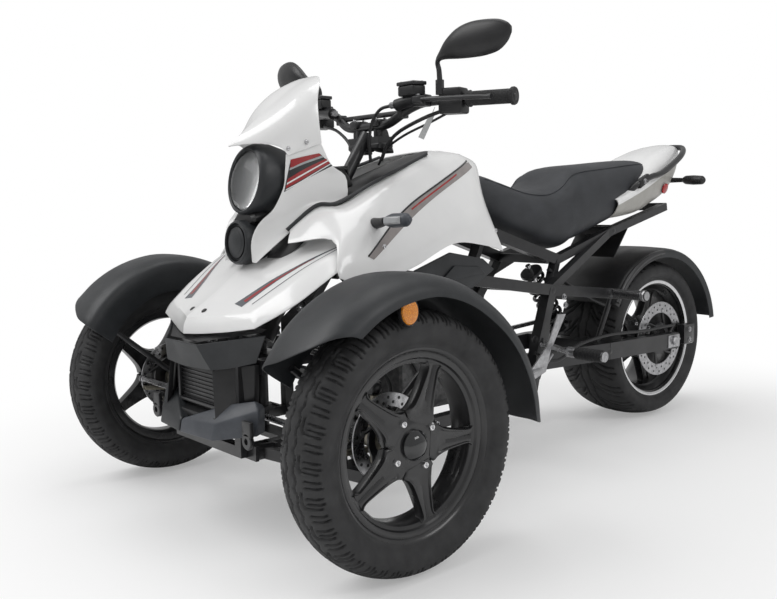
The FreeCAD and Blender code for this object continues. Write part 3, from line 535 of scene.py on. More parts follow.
def tyres():
    front_profile = [(0.039, 0.184), (0.046, 0.188), (0.049, 0.194), (0.056, 0.205), (0.0612, 0.221),
        (0.0605, 0.233), (0.055, 0.2440), (0.040, 0.2535), (0.020, 0.2600), (0, 0.262)]
    rear_profile = [(0.090, 0.184), (0.098, 0.188), (0.101, 0.194), (0.109, 0.203), (0.1142, 0.215),
        (0.1125, 0.228), (0.102, 0.2395), (0.075, 0.2495), (0.038, 0.2562), (0, 0.258)]
    for side, word in SIDES:
        centre = Vector((side * HALF_TRACK, FRONT_Y, FRONT_AXLE_Z))
        tyre_piece(word + "_front_tyre", word + "_tyre", word + "_wheel", centre, front_profile, FRONT_TREAD,
            24, 720, 6, 0.0042)
    tyre_piece("wide_rear_tyre", "rear_tyre", "rear_wheel", Vector((0, REAR_Y, REAR_AXLE_Z)), rear_profile,
        REAR_TREAD, 20, 640, 9, 0.0055)


# ---- rims ---------------------------------------------------------------------------------------
SPOKE_TURN = math.radians(68)
BOLT_TURN = math.radians(31)
WHEEL_BOLTS = 4


def spoke_grid(side, centre, face, number, spokes, rim_in, root, tip_half, hub_half, drop):
    """One cast spoke with two raised ribs: rings of points from the hub outwards."""
    sector = math.pi / spokes
    rows = []
    radii = [root + (rim_in - root) * (i / 22) for i in range(23)]
    across = [-1, -0.93, -0.86, -0.74, -0.66, -0.3, 0, 0.3, 0.66, 0.74, 0.86, 0.93, 1]
    for radius in radii:
        t = (radius - root) / (rim_in - root)
        half = tip_half + (hub_half - tip_half) * (1 - t) + 0.042 * math.exp(-(radius - root) / 0.013)
        half += 0.010 * math.exp(-(rim_in - radius) / 0.006)
        half = min(half, radius * math.tan(sector) * 0.999)
        rib = 0.0032 * min(1, max(0, (radius - root - 0.016) / 0.014))
        top = face + 0.002 - drop * t
        row = []
        for u in across:
            height = top
            if 0.74 <= abs(u) <= 0.86:
                height += rib
            if abs(u) < 0.3:
                height -= rib * 0.8
            if abs(u) > 0.9:
                height -= 0.0015
            if abs(u) == 1:
                height -= 0.005
            row.append((u * half, radius, height))
        under = face - 0.024
        row.append((0.86 * half, radius, under))
        row.append((-0.86 * half, radius, under))
        rows.append(row)
    turn = 2 * math.pi * number / spokes + SPOKE_TURN
    points = []
    for row in rows:
        ring = []
        for u, radius, height in row:
            y = radius * math.cos(turn) - u * math.sin(turn)
            z = radius * math.sin(turn) + u * math.cos(turn)
            ring.append((centre.x + side * height, centre.y + y, centre.z + z))
        points.append(ring)
    return points


def rings_to_mesh(name, groups):
    """A closed-section mesh from rings of points, one strip for each group."""
    verts = []
    faces = []
    for rings in groups:
        base = len(verts)
        count = len(rings[0])
        for ring in rings:
            verts.extend(ring)
        for i in range(len(rings) - 1):
            for j in range(count):
                k = (j + 1) % count
                a = base + i * count
                b = a + count
                faces.append((a + j, a + k, b + k, b + j))
        faces.append(tuple(base + j for j in range(count)))
        faces.append(tuple(base + (len(rings) - 1) * count + j for j in range(count)))
    mesh = bpy.data.meshes.new(name)
    mesh.from_pydata([tuple(p) for p in verts], [], faces)
    tidy_mesh(mesh)
    return mesh


def wheel_rim(word, body, node, side, centre, radius, half, face, root=0.042):
    """Barrel with stepped flanges, hub, five ribbed spokes, hub cap and bright bolts."""
    lip = radius
    inner = radius - 0.036
    barrel = [(-half, lip), (-half, lip - 0.004), (-half + 0.003, lip - 0.009), (-half + 0.010, lip - 0.013),
        (-half * 0.7, inner + 0.006), (-half * 0.5, inner), (half * 0.5, inner),
        (half * 0.62, inner + 0.003), (half * 0.68, inner + 0.010), (half * 0.78, inner + 0.013),
        (half * 0.84, inner + 0.020), (half - 0.008, lip - 0.012), (half - 0.002, lip - 0.008),
        (half, lip - 0.003), (half - 0.002, lip), (half - 0.007, lip - 0.002), (half - 0.009, lip - 0.016),
        (half * 0.6, inner + 0.016), (half * 0.4, inner + 0.005), (-half * 0.4, inner + 0.005),
        (-half * 0.75, inner + 0.014), (-half + 0.008, lip - 0.004)]
    drum = lathe(word + "_rim_barrel", [(side * x, r) for x, r in barrel], centre, body, "rim", 128)
    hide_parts(node)
    groups = [spoke_grid(side, centre, face, n, 5, inner + 0.004, root, 0.0125, 0.030, 0.004)
        for n in range(5)]
    spokes = link(word + "_rim_spokes", rings_to_mesh("spokes", groups), "rim", body)
    sharpen(spokes, 38)
    hub = [(face - 0.050, 0.012), (face - 0.050, 0.040), (face - 0.026, 0.050), (face - 0.024, 0.060),
        (face - 0.004, 0.060), (face + 0.001, 0.052), (face + 0.002, 0.036), (face + 0.001, 0.012)]
    lathe(word + "_rim_hub", [(side * x, r) for x, r in hub], centre, body, "rim", 96)
    cap = [(face - 0.002, 0.0), (face - 0.002, 0.0300), (face + 0.008, 0.0300), (face + 0.010, 0.0285),
        (face + 0.0115, 0.0265), (face + 0.0165, 0.0225), (face + 0.0205, 0.0160), (face + 0.0225, 0.008),
        (face + 0.023, 0.0)]
    lathe(word + "_hub_cap", [(side * x, r) for x, r in cap], centre, body, "cap", 64)
    for number in range(WHEEL_BOLTS):
        angle = 2 * math.pi * number / WHEEL_BOLTS + BOLT_TURN
        place = centre + Vector((side * (face - 0.001), 0.052 * math.cos(angle), 0.052 * math.sin(angle)))
        cap_bolt(word + "_rim_bolt_%d" % (number + 1), place, Vector((side, 0, 0)), 0.0072, body, "chrome",
            0.008)


def frame_on(place, way):
    """A matrix whose Z looks along a direction, at a place."""
    turn = way.to_track_quat("Z", "Y").to_matrix().to_4x4()
    return Matrix.Translation(place) @ turn


def turned(name, profile, place, way, body, mat, segments=32, smooth_angle=35):
    """Spins (radius, height) points, in metres, about a direction through a place."""
    matrix = frame_on(place, way)
    verts = []
    faces = []
    count = len(profile)
    for seg in range(segments):
        angle = 2 * math.pi * seg / segments
        for radius, height in profile:
            verts.append(matrix @ Vector((radius * math.cos(angle), radius * math.sin(angle), height)))
    for seg in range(segments):
        after = (seg + 1) % segments
        for i in range(count - 1):
            faces.append((seg * count + i, seg * count + i + 1, after * count + i + 1, after * count + i))
    mesh = bpy.data.meshes.new(name)
    mesh.from_pydata(verts, [], faces)
    tidy_mesh(mesh)
    return sharpen(link(name, mesh, mat, body), smooth_angle)


def cap_bolt(name, place, way, radius, body, mat, height):
    """A round-headed screw with a washer and a hex socket."""
    r = radius
    profile = [(0, 0), (r * 1.45, 0), (r * 1.45, height * 0.15), (r * 1.0, height * 0.2),
        (r * 1.0, height * 0.75), (r * 0.82, height), (r * 0.5, height * 1.05), (r * 0.46, height * 0.6),
        (0, height * 0.6)]
    return turned(name, profile, place, way, body, mat, 18)


def wheels():
    for side, word in SIDES:
        centre = Vector((side * HALF_TRACK, FRONT_Y, FRONT_AXLE_Z))
        wheel_rim(word, word + "_wheel", word + "_rim", side, centre, 0.191, 0.046, 0.032)
    wheel_rim("rear", "rear_wheel", "rear_rim", 1, Vector((0, REAR_Y, REAR_AXLE_Z)), 0.191, 0.098, 0.038)


# ---- sheets and bodywork ------------------------------------------------------------------------
def resample(points, count):
    """`count` + 1 points spaced evenly on the smooth line through the given ones."""
    if len(points) > 2:
        line = catmull(points, 24)
    else:
        line = [points[0].lerp(points[1], i / 24) for i in range(25)]
    spots = [0.0]
    for a, b in zip(line, line[1:]):
        spots.append(spots[-1] + (b - a).length)
    result = []
    at = 0
    for i in range(count + 1):
        goal = spots[-1] * i / count
        while at < len(line) - 2 and spots[at + 1] < goal:
            at += 1
        span = spots[at + 1] - spots[at]
        share = (goal - spots[at]) / span if span > 0 else 0
        result.append(line[at].lerp(line[at + 1], min(max(share, 0), 1)))
    return result


def coons(start, end, first, last, nu, nv, bulge=0.0):
    """A smooth patch inside four edges. start and end run along u, first and last along v."""
    a = resample(start, nu)
    b = resample(end, nu)
    c = resample(first, nv)
    d = resample(last, nv)
    rows = []
    for j in range(nv + 1):
        v = j / nv
        row = []
        for i in range(nu + 1):
            u = i / nu
            point = a[i] * (1 - v) + b[i] * v + c[j] * (1 - u) + d[j] * u
            point = point - (a[0] * (1 - u) * (1 - v) + a[-1] * u * (1 - v) + b[0] * (1 - u) * v + b[-1] * u
                * v)
            row.append(point)
        rows.append(row)
    if bulge:
        across = (a[-1] - a[0]).cross(b[0] - a[0]).normalized()
        for j, row in enumerate(rows):
            for i in range(nu + 1):
                lift = bulge * math.sin(math.pi * i / nu) * math.sin(math.pi * j / nv)
                row[i] = row[i] + across * lift
    return rows


def grid_rows(lines, along, across, smooth=True):
    """A fine grid through coarse lines of points, smooth along them, and across them if asked."""
    fine = [resample(line, along) for line in lines]
    columns = []
    for i in range(along + 1):
        column = [line[i] for line in fine]
        if smooth:
            columns.append(catmull(column, across))
        else:
            dense = []
            for a, b in zip(column, column[1:]):
                dense.extend(a.lerp(b, k / across) for k in range(across))
            dense.append(column[-1])
            columns.append(dense)
    return columns


def sheet(name, grids, inside, thickness, body, mat, angle=32, rim=0.0008):
    """One sheet of even thickness from grids of points, with its outer side away from `inside`."""
    bm = bmesh.new()
    for rows in grids:
        made = [[bm.verts.new(p) for p in row] for row in rows]
        for upper, lower in zip(made, made[1:]):
            for i in range(len(upper) - 1):
                corners = []
                for vert in (upper[i], upper[i + 1], lower[i + 1], lower[i]):
                    if all((vert.co - other.co).length > 0.00002 for other in corners):
                        corners.append(vert)
                if len(corners) > 2:
                    bm.faces.new(corners)
    bmesh.ops.remove_doubles(bm, verts=bm.verts, dist=0.00025)
    bmesh.ops.recalc_face_normals(bm, faces=bm.faces)
    score = sum(f.normal.dot(f.calc_center_median() - inside) * f.calc_area() for f in bm.faces)
    if score < 0:
        bmesh.ops.reverse_faces(bm, faces=bm.faces)
    loose = [v for v in bm.verts if not v.link_faces]
    bmesh.ops.delete(bm, geom=loose, context="VERTS")
    mesh = bpy.data.meshes.new(name)
    bm.to_mesh(mesh)
    bm.free()
    obj = link(name, mesh, mat, body)
    solid = obj.modifiers.new("thick", "SOLIDIFY")
    solid.thickness = thickness
    solid.offset = -1
    solid.use_even_offset = True
    solid.thickness_clamp = 1.0
    edge = obj.modifiers.new("rim", "BEVEL")
    edge.width = rim
    edge.segments = 2
    edge.limit_method = "ANGLE"
    edge.angle_limit = math.radians(55)
    apply_modifiers(obj)
    return sharpen(obj, angle)


TREES = {}


def on_surface(target, point, way, lift):
    """Where a ray from far out along `way` meets an object, raised a little towards the eye."""
    key = target.name
    if key not in TREES:
        graph = bpy.context.evaluated_depsgraph_get()
        TREES[key] = BVHTree.FromObject(target, graph)
    hit = TREES[key].ray_cast(point - way * 1.5, way)
    if hit[0] is None:
        return None
    return hit[0] - way * lift


def decal(name, upper, lower, target, way, body, mat, lift=0.0004, steps=26, across=3):
    """A thin stripe between two lines, laid on a surface along a direction."""
    top = resample(upper, steps)
    low = resample(lower, steps)
    bm = bmesh.new()
    rows = []
    for a, b in zip(top, low):
        row = []
        for k in range(across + 1):
            spot = on_surface(target, a.lerp(b, k / across), way, lift)
            row.append(bm.verts.new(spot) if spot else None)
        rows.append(row)
    for one, two in zip(rows, rows[1:]):
        for k in range(across):
            corners = (one[k], one[k + 1], two[k + 1], two[k])
            if all(corners) and max((p.co - corners[0].co).length for p in corners) < 0.05:
                face = bm.faces.new(corners)
                face.normal_update()
                if face.normal.dot(way) > 0:
                    face.normal_flip()
    loose = [v for v in bm.verts if not v.link_faces]
    bmesh.ops.delete(bm, geom=loose, context="VERTS")
    mesh = bpy.data.meshes.new(name)
    bm.to_mesh(mesh)
    bm.free()
    return link(name, mesh, mat, body)


LEFTWARDS = Vector((-1, 0, 0))      # the way a ray goes when it comes from the left side
DOWN = Vector((0, 0, -1))


def nose():
    """Top, front face and side walls of the nose, with the crease between them."""
    grids = []
    for side in (1, -1):
        top = coons(sided([(0, -187, 480), (50, -168, 483), (120, -146, 491), (180, -124, 502)], side),
            sided([(0, 92, 662), (110, 92, 652), (220, 92, 628)], side),
            sided([(0, -187, 480), (0, -120, 522), (0, -50, 574), (0, 20, 622), (0, 92, 662)], side),
            sided([(180, -124, 502), (197, -60, 545), (210, 10, 588), (220, 92, 628)], side), 18, 22)
        wall = coons(sided([(180, -124, 502), (192, -133, 486), (200, -139, 468)], side),
            sided([(220, 92, 628), (234, 92, 614), (246, 92, 598)], side),
            sided([(180, -124, 502), (197, -60, 545), (210, 10, 588), (220, 92, 628)], side),
            sided([(200, -139, 468), (232, -92, 498), (248, -50, 524), (250, 38, 573), (246, 92, 598)],
            side), 6, 22)
        face = coons(sided([(0, -187, 480), (50, -168, 483), (120, -146, 491), (180, -124, 502)], side),
            sided([(0, -197, 444), (50, -182, 447), (120, -160, 455), (200, -139, 468)], side),
            sided([(0, -187, 480), (0, -195, 462), (0, -197, 444)], side),
            sided([(180, -124, 502), (192, -133, 486), (200, -139, 468)], side), 18, 6)
        grids.extend([top, wall, face])
    cowl = sheet("nose_shell", grids, front(0, 0, 470), 0.003, "chassis", "white", 26)
    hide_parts("nose_cowl")
    for side in (1, -1):
        word = "left" if side > 0 else "right"
        decal(word + "_nose_grey_band", sided([(96, -122, 0), (128, -60, 0), (166, 2, 0), (206, 92, 0)],
            side), sided([(128, -124, 0), (148, -62, 0), (176, 2, 0), (208, 92, 0)], side), cowl, DOWN,
            "chassis", "stripe_grey")
        decal(word + "_nose_red_line", sided([(114, -110, 0), (139, -58, 0), (166, -10, 0), (186, 28, 0)],
            side), sided([(125, -112, 0), (146, -58, 0), (169, -10, 0), (187, 28, 0)], side), cowl, DOWN,
            "chassis", "stripe_red", 0.0007)
        decal(word + "_nose_thin_line", sided([(150, -112, 0), (176, -40, 0), (198, 30, 0), (212, 90, 0)],
            side), sided([(153, -112, 0), (179, -40, 0), (200, 30, 0), (214, 90, 0)], side), cowl, DOWN,
            "chassis", "stripe_grey", 0.0006)
        spot = on_surface(cowl, front(side * 26, -158, 0), DOWN, 0)
        turned(word + "_nose_vent", [(0, 0.0006), (0.0045, 0.0006), (0.006, 0.0012), (0.007, 0)], spot,
            Vector((0, -0.55, 0.83)), "chassis", "black", 20)
    return cowl


def screen_and_cheeks():
    """The white mask: a peaked screen with side flanges, and two cheeks with jaws."""
    grids = []
    for side in (1, -1):
        grids.append(coons(
            sided([(0, -67, 853), (30, -30, 857), (55, -2, 856), (78, 22, 847), (94, 30, 829)], side),
            sided([(0, 166, 1021), (52, 150, 1014), (90, 124, 990), (110, 104, 950), (120, 100, 895),
                   (121, 104, 856)], side),
            sided([(0, -67, 853), (0, -5, 903), (0, 62, 957), (0, 122, 1000), (0, 166, 1021)], side),
            sided([(94, 30, 829), (109, 68, 843), (121, 104, 856)], side), 20, 20, side * 0.012))
    screen = sheet("mask_screen", grids, front(0, 120, 840), 0.003, "chassis", "white", 36)
    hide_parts("headlight_mask")
    for side in (1, -1):
        word = "left" if side > 0 else "right"
        grids = [coons(
            sided([(88, 30, 832), (104, 68, 846), (117, 104, 857)], side),
            sided([(60, -50, 594), (64, -48, 593), (68, -46, 593)], side),
            sided([(88, 30, 832), (87, 27, 795), (85, 22, 757), (80, -4, 708), (68, -36, 676),
                   (60, -50, 640), (60, -50, 594)], side),
            sided([(117, 104, 857), (119, 131, 808), (123, 164, 786), (124, 171, 760), (122, 165, 728),
                   (112, 102, 712), (102, 52, 680), (94, 18, 652), (84, -22, 620), (68, -46, 593)],
                  side), 14, 34, side * 0.008)]
        cheek = sheet(word + "_mask_cheek", grids, front(0, 60, 740), 0.003, "chassis", "white", 40)
        grids = [coons(
            sided([(88, 30, 832), (84, 30, 832)], side), sided([(60, -50, 594), (52, -40, 594)], side),
            sided([(88, 30, 832), (87, 27, 795), (85, 22, 757), (80, -4, 708), (68, -36, 676),
                   (60, -50, 640), (60, -50, 594)], side),
            sided([(78, 44, 832), (77, 40, 795), (75, 34, 757), (70, 6, 712), (58, -26, 680),
                   (50, -40, 640), (50, -40, 594)], side), 3, 34)]
        sheet(word + "_cheek_return", grids, front(0, 80, 740), 0.002, "chassis", "white", 40)
        way = LEFTWARDS * side
        body = "chassis"

        def strip(label, upper, lower, mat, lift=0.0005):
            decal(word + "_cheek_" + label, [front(0, y, z) for y, z in upper],
                [front(0, y, z) for y, z in lower], cheek, way, body, mat, lift, 20, 3)

        strip("dark_patch", [(38, 818), (70, 826), (103, 833)], [(22, 748), (74, 775), (133, 806)],
            "stripe_black")
        strip("red_top", [(38, 820), (68, 827), (101, 834)], [(37, 800), (66, 814), (106, 829)],
            "stripe_red", 0.0009)
        strip("silver_line", [(36, 801), (66, 814), (108, 829)], [(35, 796), (66, 809), (111, 825)],
            "stripe_silver", 0.0009)
        strip("red_middle", [(31, 777), (72, 800), (117, 822)], [(29, 768), (72, 791), (120, 818)],
            "stripe_red", 0.0009)
        strip("white_line", [(29, 768), (72, 791), (120, 818)], [(28, 764), (72, 787), (122, 816)], "white",
            0.0009)
        strip("red_low", [(28, 764), (72, 787), (122, 816)], [(26, 756), (72, 779), (127, 812)],
            "stripe_red", 0.0009)
        strip("white_low", [(26, 754), (72, 777), (128, 811)], [(25, 751), (72, 774), (129, 809)], "white",
            0.0009)
        for number, (y, z) in enumerate(((34, 846), (70, 860))):
            spot = on_surface(screen, front(0, y, z - 2), way, 0)
            if spot:
                cap_bolt(word + "_screen_bolt_%d" % (number + 1), spot, -way, 0.0042, body, "chrome", 0.003)


def ellipse_loft(name, rings, body, mat, segments=48, ends=True, smooth_angle=35):
    """A smooth body from ellipses along Y: (x centre, y, z centre, x radius, z radius, lean)."""
    verts = []
    faces = []
    for x, y, z, rx, rz, lean in rings:
        for seg in range(segments):
            angle = 2 * math.pi * seg / segments
            verts.append(front(x + rx * math.cos(angle), y + lean * math.sin(angle),
                z + rz * math.sin(angle)))
    for i in range(len(rings) - 1):
        for seg in range(segments):
            after = (seg + 1) % segments
            faces.append((i * segments + seg, i * segments + after, (i + 1) * segments + after,
                (i + 1) * segments + seg))
    if ends:
        faces.append(tuple(range(segments)))
        faces.append(tuple((len(rings) - 1) * segments + seg for seg in range(segments)))
    mesh = bpy.data.meshes.new(name)
    mesh.from_pydata(verts, [], faces)
    tidy_mesh(mesh)
    return sharpen(link(name, mesh, mat, body), smooth_angle)


def lamps():
    """Headlight with its black surround, bowl, bulb and clear lens, and the round lamp below it."""
    z = 777
    lean = 12
    shell = ellipse_loft("headlight_shell", [
        (0, 78, z, 44, 50, 0), (0, 62, z, 66, 72, 4), (0, 20, z, 78, 82, lean), (0, -12, z, 78, 82, lean),
        (0, -22, z, 75, 79, lean), (0, -29, z, 70, 75, lean), (0, -31, z, 66, 71, lean),
        (0, -28, z, 62, 68, lean), (0, -18, z, 60, 66, lean), (0, -12, z, 59, 65, lean)],
        "chassis", "grey")
    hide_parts("headlight")
    bowl = ellipse_loft("headlight_bowl", [
        (0, -13, z, 59.5, 65.5, lean), (0, -6, z, 58, 64, lean), (0, 12, z, 48, 53, 10),
        (0, 26, z, 32, 35, 6), (0, 33, z, 14, 15, 2)], "chassis", "mirror", 48, False)
    bowl.data.flip_normals()
    ellipse_loft("headlight_shade", [(0, 16, z, 15, 15, 0), (0, 4, z, 15, 15, 0), (0, 0, z, 12, 12, 0),
        (0, -1, z, 2, 2, 0)], "chassis", "chrome", 32)
    ellipse_loft("headlight_lens", [
        (0, -16, z, 60, 66, lean), (0, -24, z, 60, 66, lean), (0, -31, z, 54, 60, lean),
        (0, -38, z, 42, 47, lean * 0.7), (0, -43, z, 26, 29, lean * 0.4), (0, -45, z, 8, 9, 2)],
        "chassis", "lens", 64)
    place = front(0, 10, 634)
    way = Vector((0, -1, 0.05)).normalized()
    housing = turned("fog_lamp_housing", [
        (0, 0), (0.046, 0), (0.050, 0.006), (0.051, 0.050), (0.0505, 0.062), (0.047, 0.068), (0.044, 0.069),
        (0.0425, 0.066), (0.042, 0.062), (0.040, 0.063), (0.028, 0.069), (0.012, 0.0725), (0, 0.073)],
        place, way, "chassis", "grey", 64)
    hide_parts("lower_lamp_housing")
    for number in range(4):
        radius = 0.009 + number * 0.009
        turned("fog_lamp_ring_%d" % (number + 1), [(radius, 0.060),
            (radius + 0.0012, 0.0735 - radius * 0.16), (radius + 0.0024, 0.060)], place, way, "chassis",
            "black", 64)
    ellipse_loft("lamp_neck", [(0, 30, 700, 30, 22, 0), (0, -8, 694, 44, 22, 0), (0, -28, 690, 44, 18, 0),
        (0, -34, 688, 36, 12, 0)], "chassis", "black", 40)


def side_panels():
    """The white covers beside the tank line, with their groove, the groove's painted shade, and screws."""
    stations = [
        [(96, 24, 672), (104, 22, 662), (112, 14, 652), (120, 6, 644), (124, 2, 636)],
        [(112, 90, 716), (150, 86, 700), (186, 78, 676), (206, 66, 652), (214, 60, 642)],
        [(132, 140, 716), (182, 134, 704), (218, 120, 668), (250, 70, 608), (262, 44, 560)],
        [(122, 240, 760), (176, 236, 740), (214, 226, 680), (246, 210, 604), (250, 200, 560)],
        [(112, 320, 790), (160, 320, 772), (200, 312, 700), (230, 300, 620), (226, 290, 572)],
        [(86, 450, 836), (130, 450, 816), (170, 446, 750), (200, 440, 668), (200, 436, 616)],
        [(1, 545, 853), (96, 556, 836), (136, 560, 780), (172, 560, 690), (180, 560, 606)],
        [(1, 652, 846), (84, 630, 816), (122, 610, 760), (152, 600, 705), (174, 640, 588)],
    ]
    for side, word in SIDES:
        lines = []
        for row in range(5):
            lines.append([front(side * s[row][0], s[row][1], s[row][2]) for s in stations])
        cover = sheet(word + "_cover", [grid_rows(lines, 40, 6)], front(0, 300, 600), 0.003, "chassis",
            "white", 40)
        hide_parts(word + "_side_panel")
        way = LEFTWARDS * side

        def strip(label, upper, lower, mat, lift=0.0005, cover=cover, word=word, way=way):
            decal(word + "_cover_" + label, [front(0, y, z) for y, z in upper],
                [front(0, y, z) for y, z in lower], cover, way, "chassis", mat, lift, 36, 3)

        # painted shade: the groove's shaded floor as a warm grey band under its line
        strip("groove_shade", [(576, 824), (415, 762), (263, 695), (125, 604)],
            [(590, 806), (419, 742), (280, 676), (140, 596)], "recess_shade")
        strip("groove_line", [(576, 825), (415, 764), (263, 697), (125, 606)],
            [(577, 821), (416, 760), (264, 693), (126, 602)], "stripe_black", 0.0008)
        strip("groove_red", [(500, 788), (400, 748), (300, 705)], [(500, 784), (400, 744), (300, 701)],
            "stripe_red", 0.0009)
        for number, (y, z) in enumerate(((180, 622), (620, 640))):
            spot = on_surface(cover, front(0, y, z), way, 0)
            if spot:
                cap_bolt(word + "_cover_screw_%d" % (number + 1), spot, -way, 0.0045, "chassis", "chrome",
                    0.003)


def superellipse(half, low, high, count=36, power=2.6, crown=0.5):
    """Points round a rounded box section, widest at `crown` of its height."""
    points = []
    mid = low + (high - low) * crown
    for i in range(count):
        angle = 2 * math.pi * i / count
        c = math.cos(angle)
        s = math.sin(angle)
        x = half * math.copysign(abs(c) ** (2 / power), c)
        reach = (high - mid) if s > 0 else (mid - low)
        points.append((x, mid + reach * math.copysign(abs(s) ** (2 / power), s)))
    return points


def loft_sections(name, sections, body, mat, steps=6, smooth_angle=40):
    """A closed smooth body through sections, each a list of points of the same length."""
    count = len(sections[0])
    columns = [catmull([section[i] for section in sections], steps) for i in range(count)]
    rings = [[column[k] for column in columns] for k in range(len(columns[0]))]
    mesh = rings_to_mesh(name, [rings])
    return sharpen(link(name, mesh, mat, body), smooth_angle)


def seat_cushion():
    """The stepped seat: a narrow nose between the covers, a dip, and a raised passenger pad."""
    stations = [
        (front(0, 640, 0), 56, 706, 790, 2.4), (front(0, 690, 0), 84, 668, 790, 2.5),
        (front(0, 750, 0), 108, 630, 772, 2.6), (front(0, 830, 0), 122, 602, 750, 2.7),
        (front(0, 910, 0), 129, 578, 748, 2.8), (front(0, 965, 0), 131, 572, 770, 3.0),
        (rear(0, -440, 0), 131, 588, 800, 3.2), (rear(0, -390, 0), 130, 600, 814, 3.2),
        (rear(0, -250, 0), 121, 640, 824, 3.1), (rear(0, -100, 0), 105, 680, 834, 3.0),
        (rear(0, -30, 0), 92, 712, 832, 2.8), (rear(0, -8, 0), 72, 748, 818, 2.4)]
    sections = []
    for place, half, low, high, power in stations:
        ring = [Vector((x / 1000, place.y, z / 1000)) for x, z
            in superellipse(half, low, high, 44, power, 0.42)]
        sections.append(ring)
    cushion = loft_sections("seat_cushion", sections, "chassis", "vinyl", 7, 60)
    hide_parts("seat")
    for side, word in SIDES:
        seam = []
        for place, half, low, high, power in stations[1:-1]:
            points = superellipse(half + 0.6, low, high + 0.6, 44, power, 0.42)
            x, z = points[6]
            seam.append(Vector((side * x / 1000, place.y, z / 1000)))
        bar(word + "_seat_piping", seam, 1.6, "chassis", "vinyl", 7, 8)
    return cushion


def fender_sheets():
    """Front fenders: inner skirt, creased crown and rolled outer lip, with an amber reflector."""
    outline = [(-100, 236, 148, 6), (-106, 300, 147, 3), (-84, 321, 146, 0), (-40, 328, 144, -2),
        (20, 328, 138, -2), (52, 320, 132, -2), (70, 304, 127, -1), (76, 286, 124, 0)]
    for side, word in SIDES:
        lines = []
        for across, radius, last, first in outline:
            line = []
            for step in range(13):
                share = step / 12
                angle = math.radians(first + (last - first) * share)
                reach = radius + 20 * max(0, 1 - step / 5) - 14 * max(0, (step - 8) / 4)
                x = side * (HALF_TRACK * 1000 + across)
                line.append(Vector((x / 1000, FRONT_Y + reach * math.cos(angle) / 1000,
                    FRONT_AXLE_Z + reach * math.sin(angle) / 1000)))
            lines.append(line)
        wing = sheet(word + "_wing", [grid_rows(lines, 48, 5)],
            Vector((side * HALF_TRACK, FRONT_Y, FRONT_AXLE_Z)), 0.003, word + "_upright", "grey", 30, 0.0012)
        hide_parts(word + "_fender")
        place = Vector((side * (HALF_TRACK + 0.0672), FRONT_Y - 0.036, 0.524))
        spot_way = Vector((side, -0.10, 0.05)).normalized()
        hull(word + "_reflector_arm", [place + Vector((side * x / 1000, y / 1000, z / 1000)) for x, y,
            z in ((-8, -9, -8), (-2, -9, -8), (-8, 9, -8), (-2, 9, -8), (-9, -12, 34), (-2, -12, 34),
            (-9, 16, 38), (-2, 16, 38))], word + "_upright", "grey", 1.5)
        lens = turned(word + "_side_reflector", [(0.0, 0.0075), (0.012, 0.0072), (0.017, 0.0055),
            (0.0185, 0.0025), (0.0185, -0.004)], place, spot_way, word + "_upright", "amber", 40)
        lens.data.transform(Matrix.Translation(place) @ Matrix.Diagonal(
            (1, 1, 1.35, 1)) @ Matrix.Translation(-place))
        rim = turned(word + "_reflector_rim", [(0.0185, 0.002), (0.0205, 0.003), (0.0215, 0.000),
            (0.0215, -0.005)], place, spot_way, word + "_upright", "black", 40)
        rim.data.transform(Matrix.Translation(place) @ Matrix.Diagonal((1, 1, 1.3, 1)) @ Matrix.Translation(
            -place))


# ---- bars, blocks and plates --------------------------------------------------------------------
def bar(name, points, radius, body, mat, steps=8, sides=20, angle=40):
    """A round bar along a smooth line; radius, in mm, is one size or one for each point."""
    line = catmull(points, steps) if len(points) > 2 else list(points)
    sizes = list(radius) if isinstance(radius, (list, tuple)) else [radius] * len(points)
    rings = []
    up = None
    last = len(line) - 1
    for i, place in enumerate(line):
        way = (line[min(i + 1, last)] - line[max(i - 1, 0)]).normalized()
        if up is None:
            up = way.orthogonal()
        up = (up - way * up.dot(way)).normalized()
        side = way.cross(up)
        at = i * (len(sizes) - 1) / last
        low = min(int(at), len(sizes) - 2)
        size = (sizes[low] + (sizes[low + 1] - sizes[low]) * (at - low)) / 1000
        ring = []
        for seg in range(sides):
            turn = 2 * math.pi * seg / sides
            ring.append(place + (up * math.cos(turn) + side * math.sin(turn)) * size)
        rings.append(ring)
    return sharpen(link(name, rings_to_mesh(name, [rings]), mat, body), angle)


def finish_solid(name, bm, body, mat, edge, angle):
    """Rounds the sharp edges of a solid and adds it as a piece."""
    bmesh.ops.remove_doubles(bm, verts=bm.verts, dist=0.00005)
    bmesh.ops.recalc_face_normals(bm, faces=bm.faces)
    sharp = [e for e in bm.edges if len(e.link_faces) == 2 and e.calc_face_angle() > 0.35]
    if edge and sharp:
        bmesh.ops.bevel(bm, geom=sharp, offset=edge / 1000, segments=3, profile=0.5, affect="EDGES",
            clamp_overlap=True)
    mesh = bpy.data.meshes.new(name)
    bm.to_mesh(mesh)
    bm.free()
    return sharpen(link(name, mesh, mat, body), angle)


def block(name, centre, size, body, mat, way=None, edge=2.0, angle=28):
    """A box with rounded edges, in mm, with its own X along `way` when that is given."""
    bm = bmesh.new()
    bmesh.ops.create_cube(bm, size=1.0)
    turn = Matrix.Identity(4)
    if way is not None:
        turn = way.normalized().to_track_quat("X", "Z").to_matrix().to_4x4()
    scale = Matrix.Diagonal((size[0] / 1000, size[1] / 1000, size[2] / 1000, 1))
    bmesh.ops.transform(bm, matrix=Matrix.Translation(centre) @ turn @ scale, verts=bm.verts)
    return finish_solid(name, bm, body, mat, edge, angle)


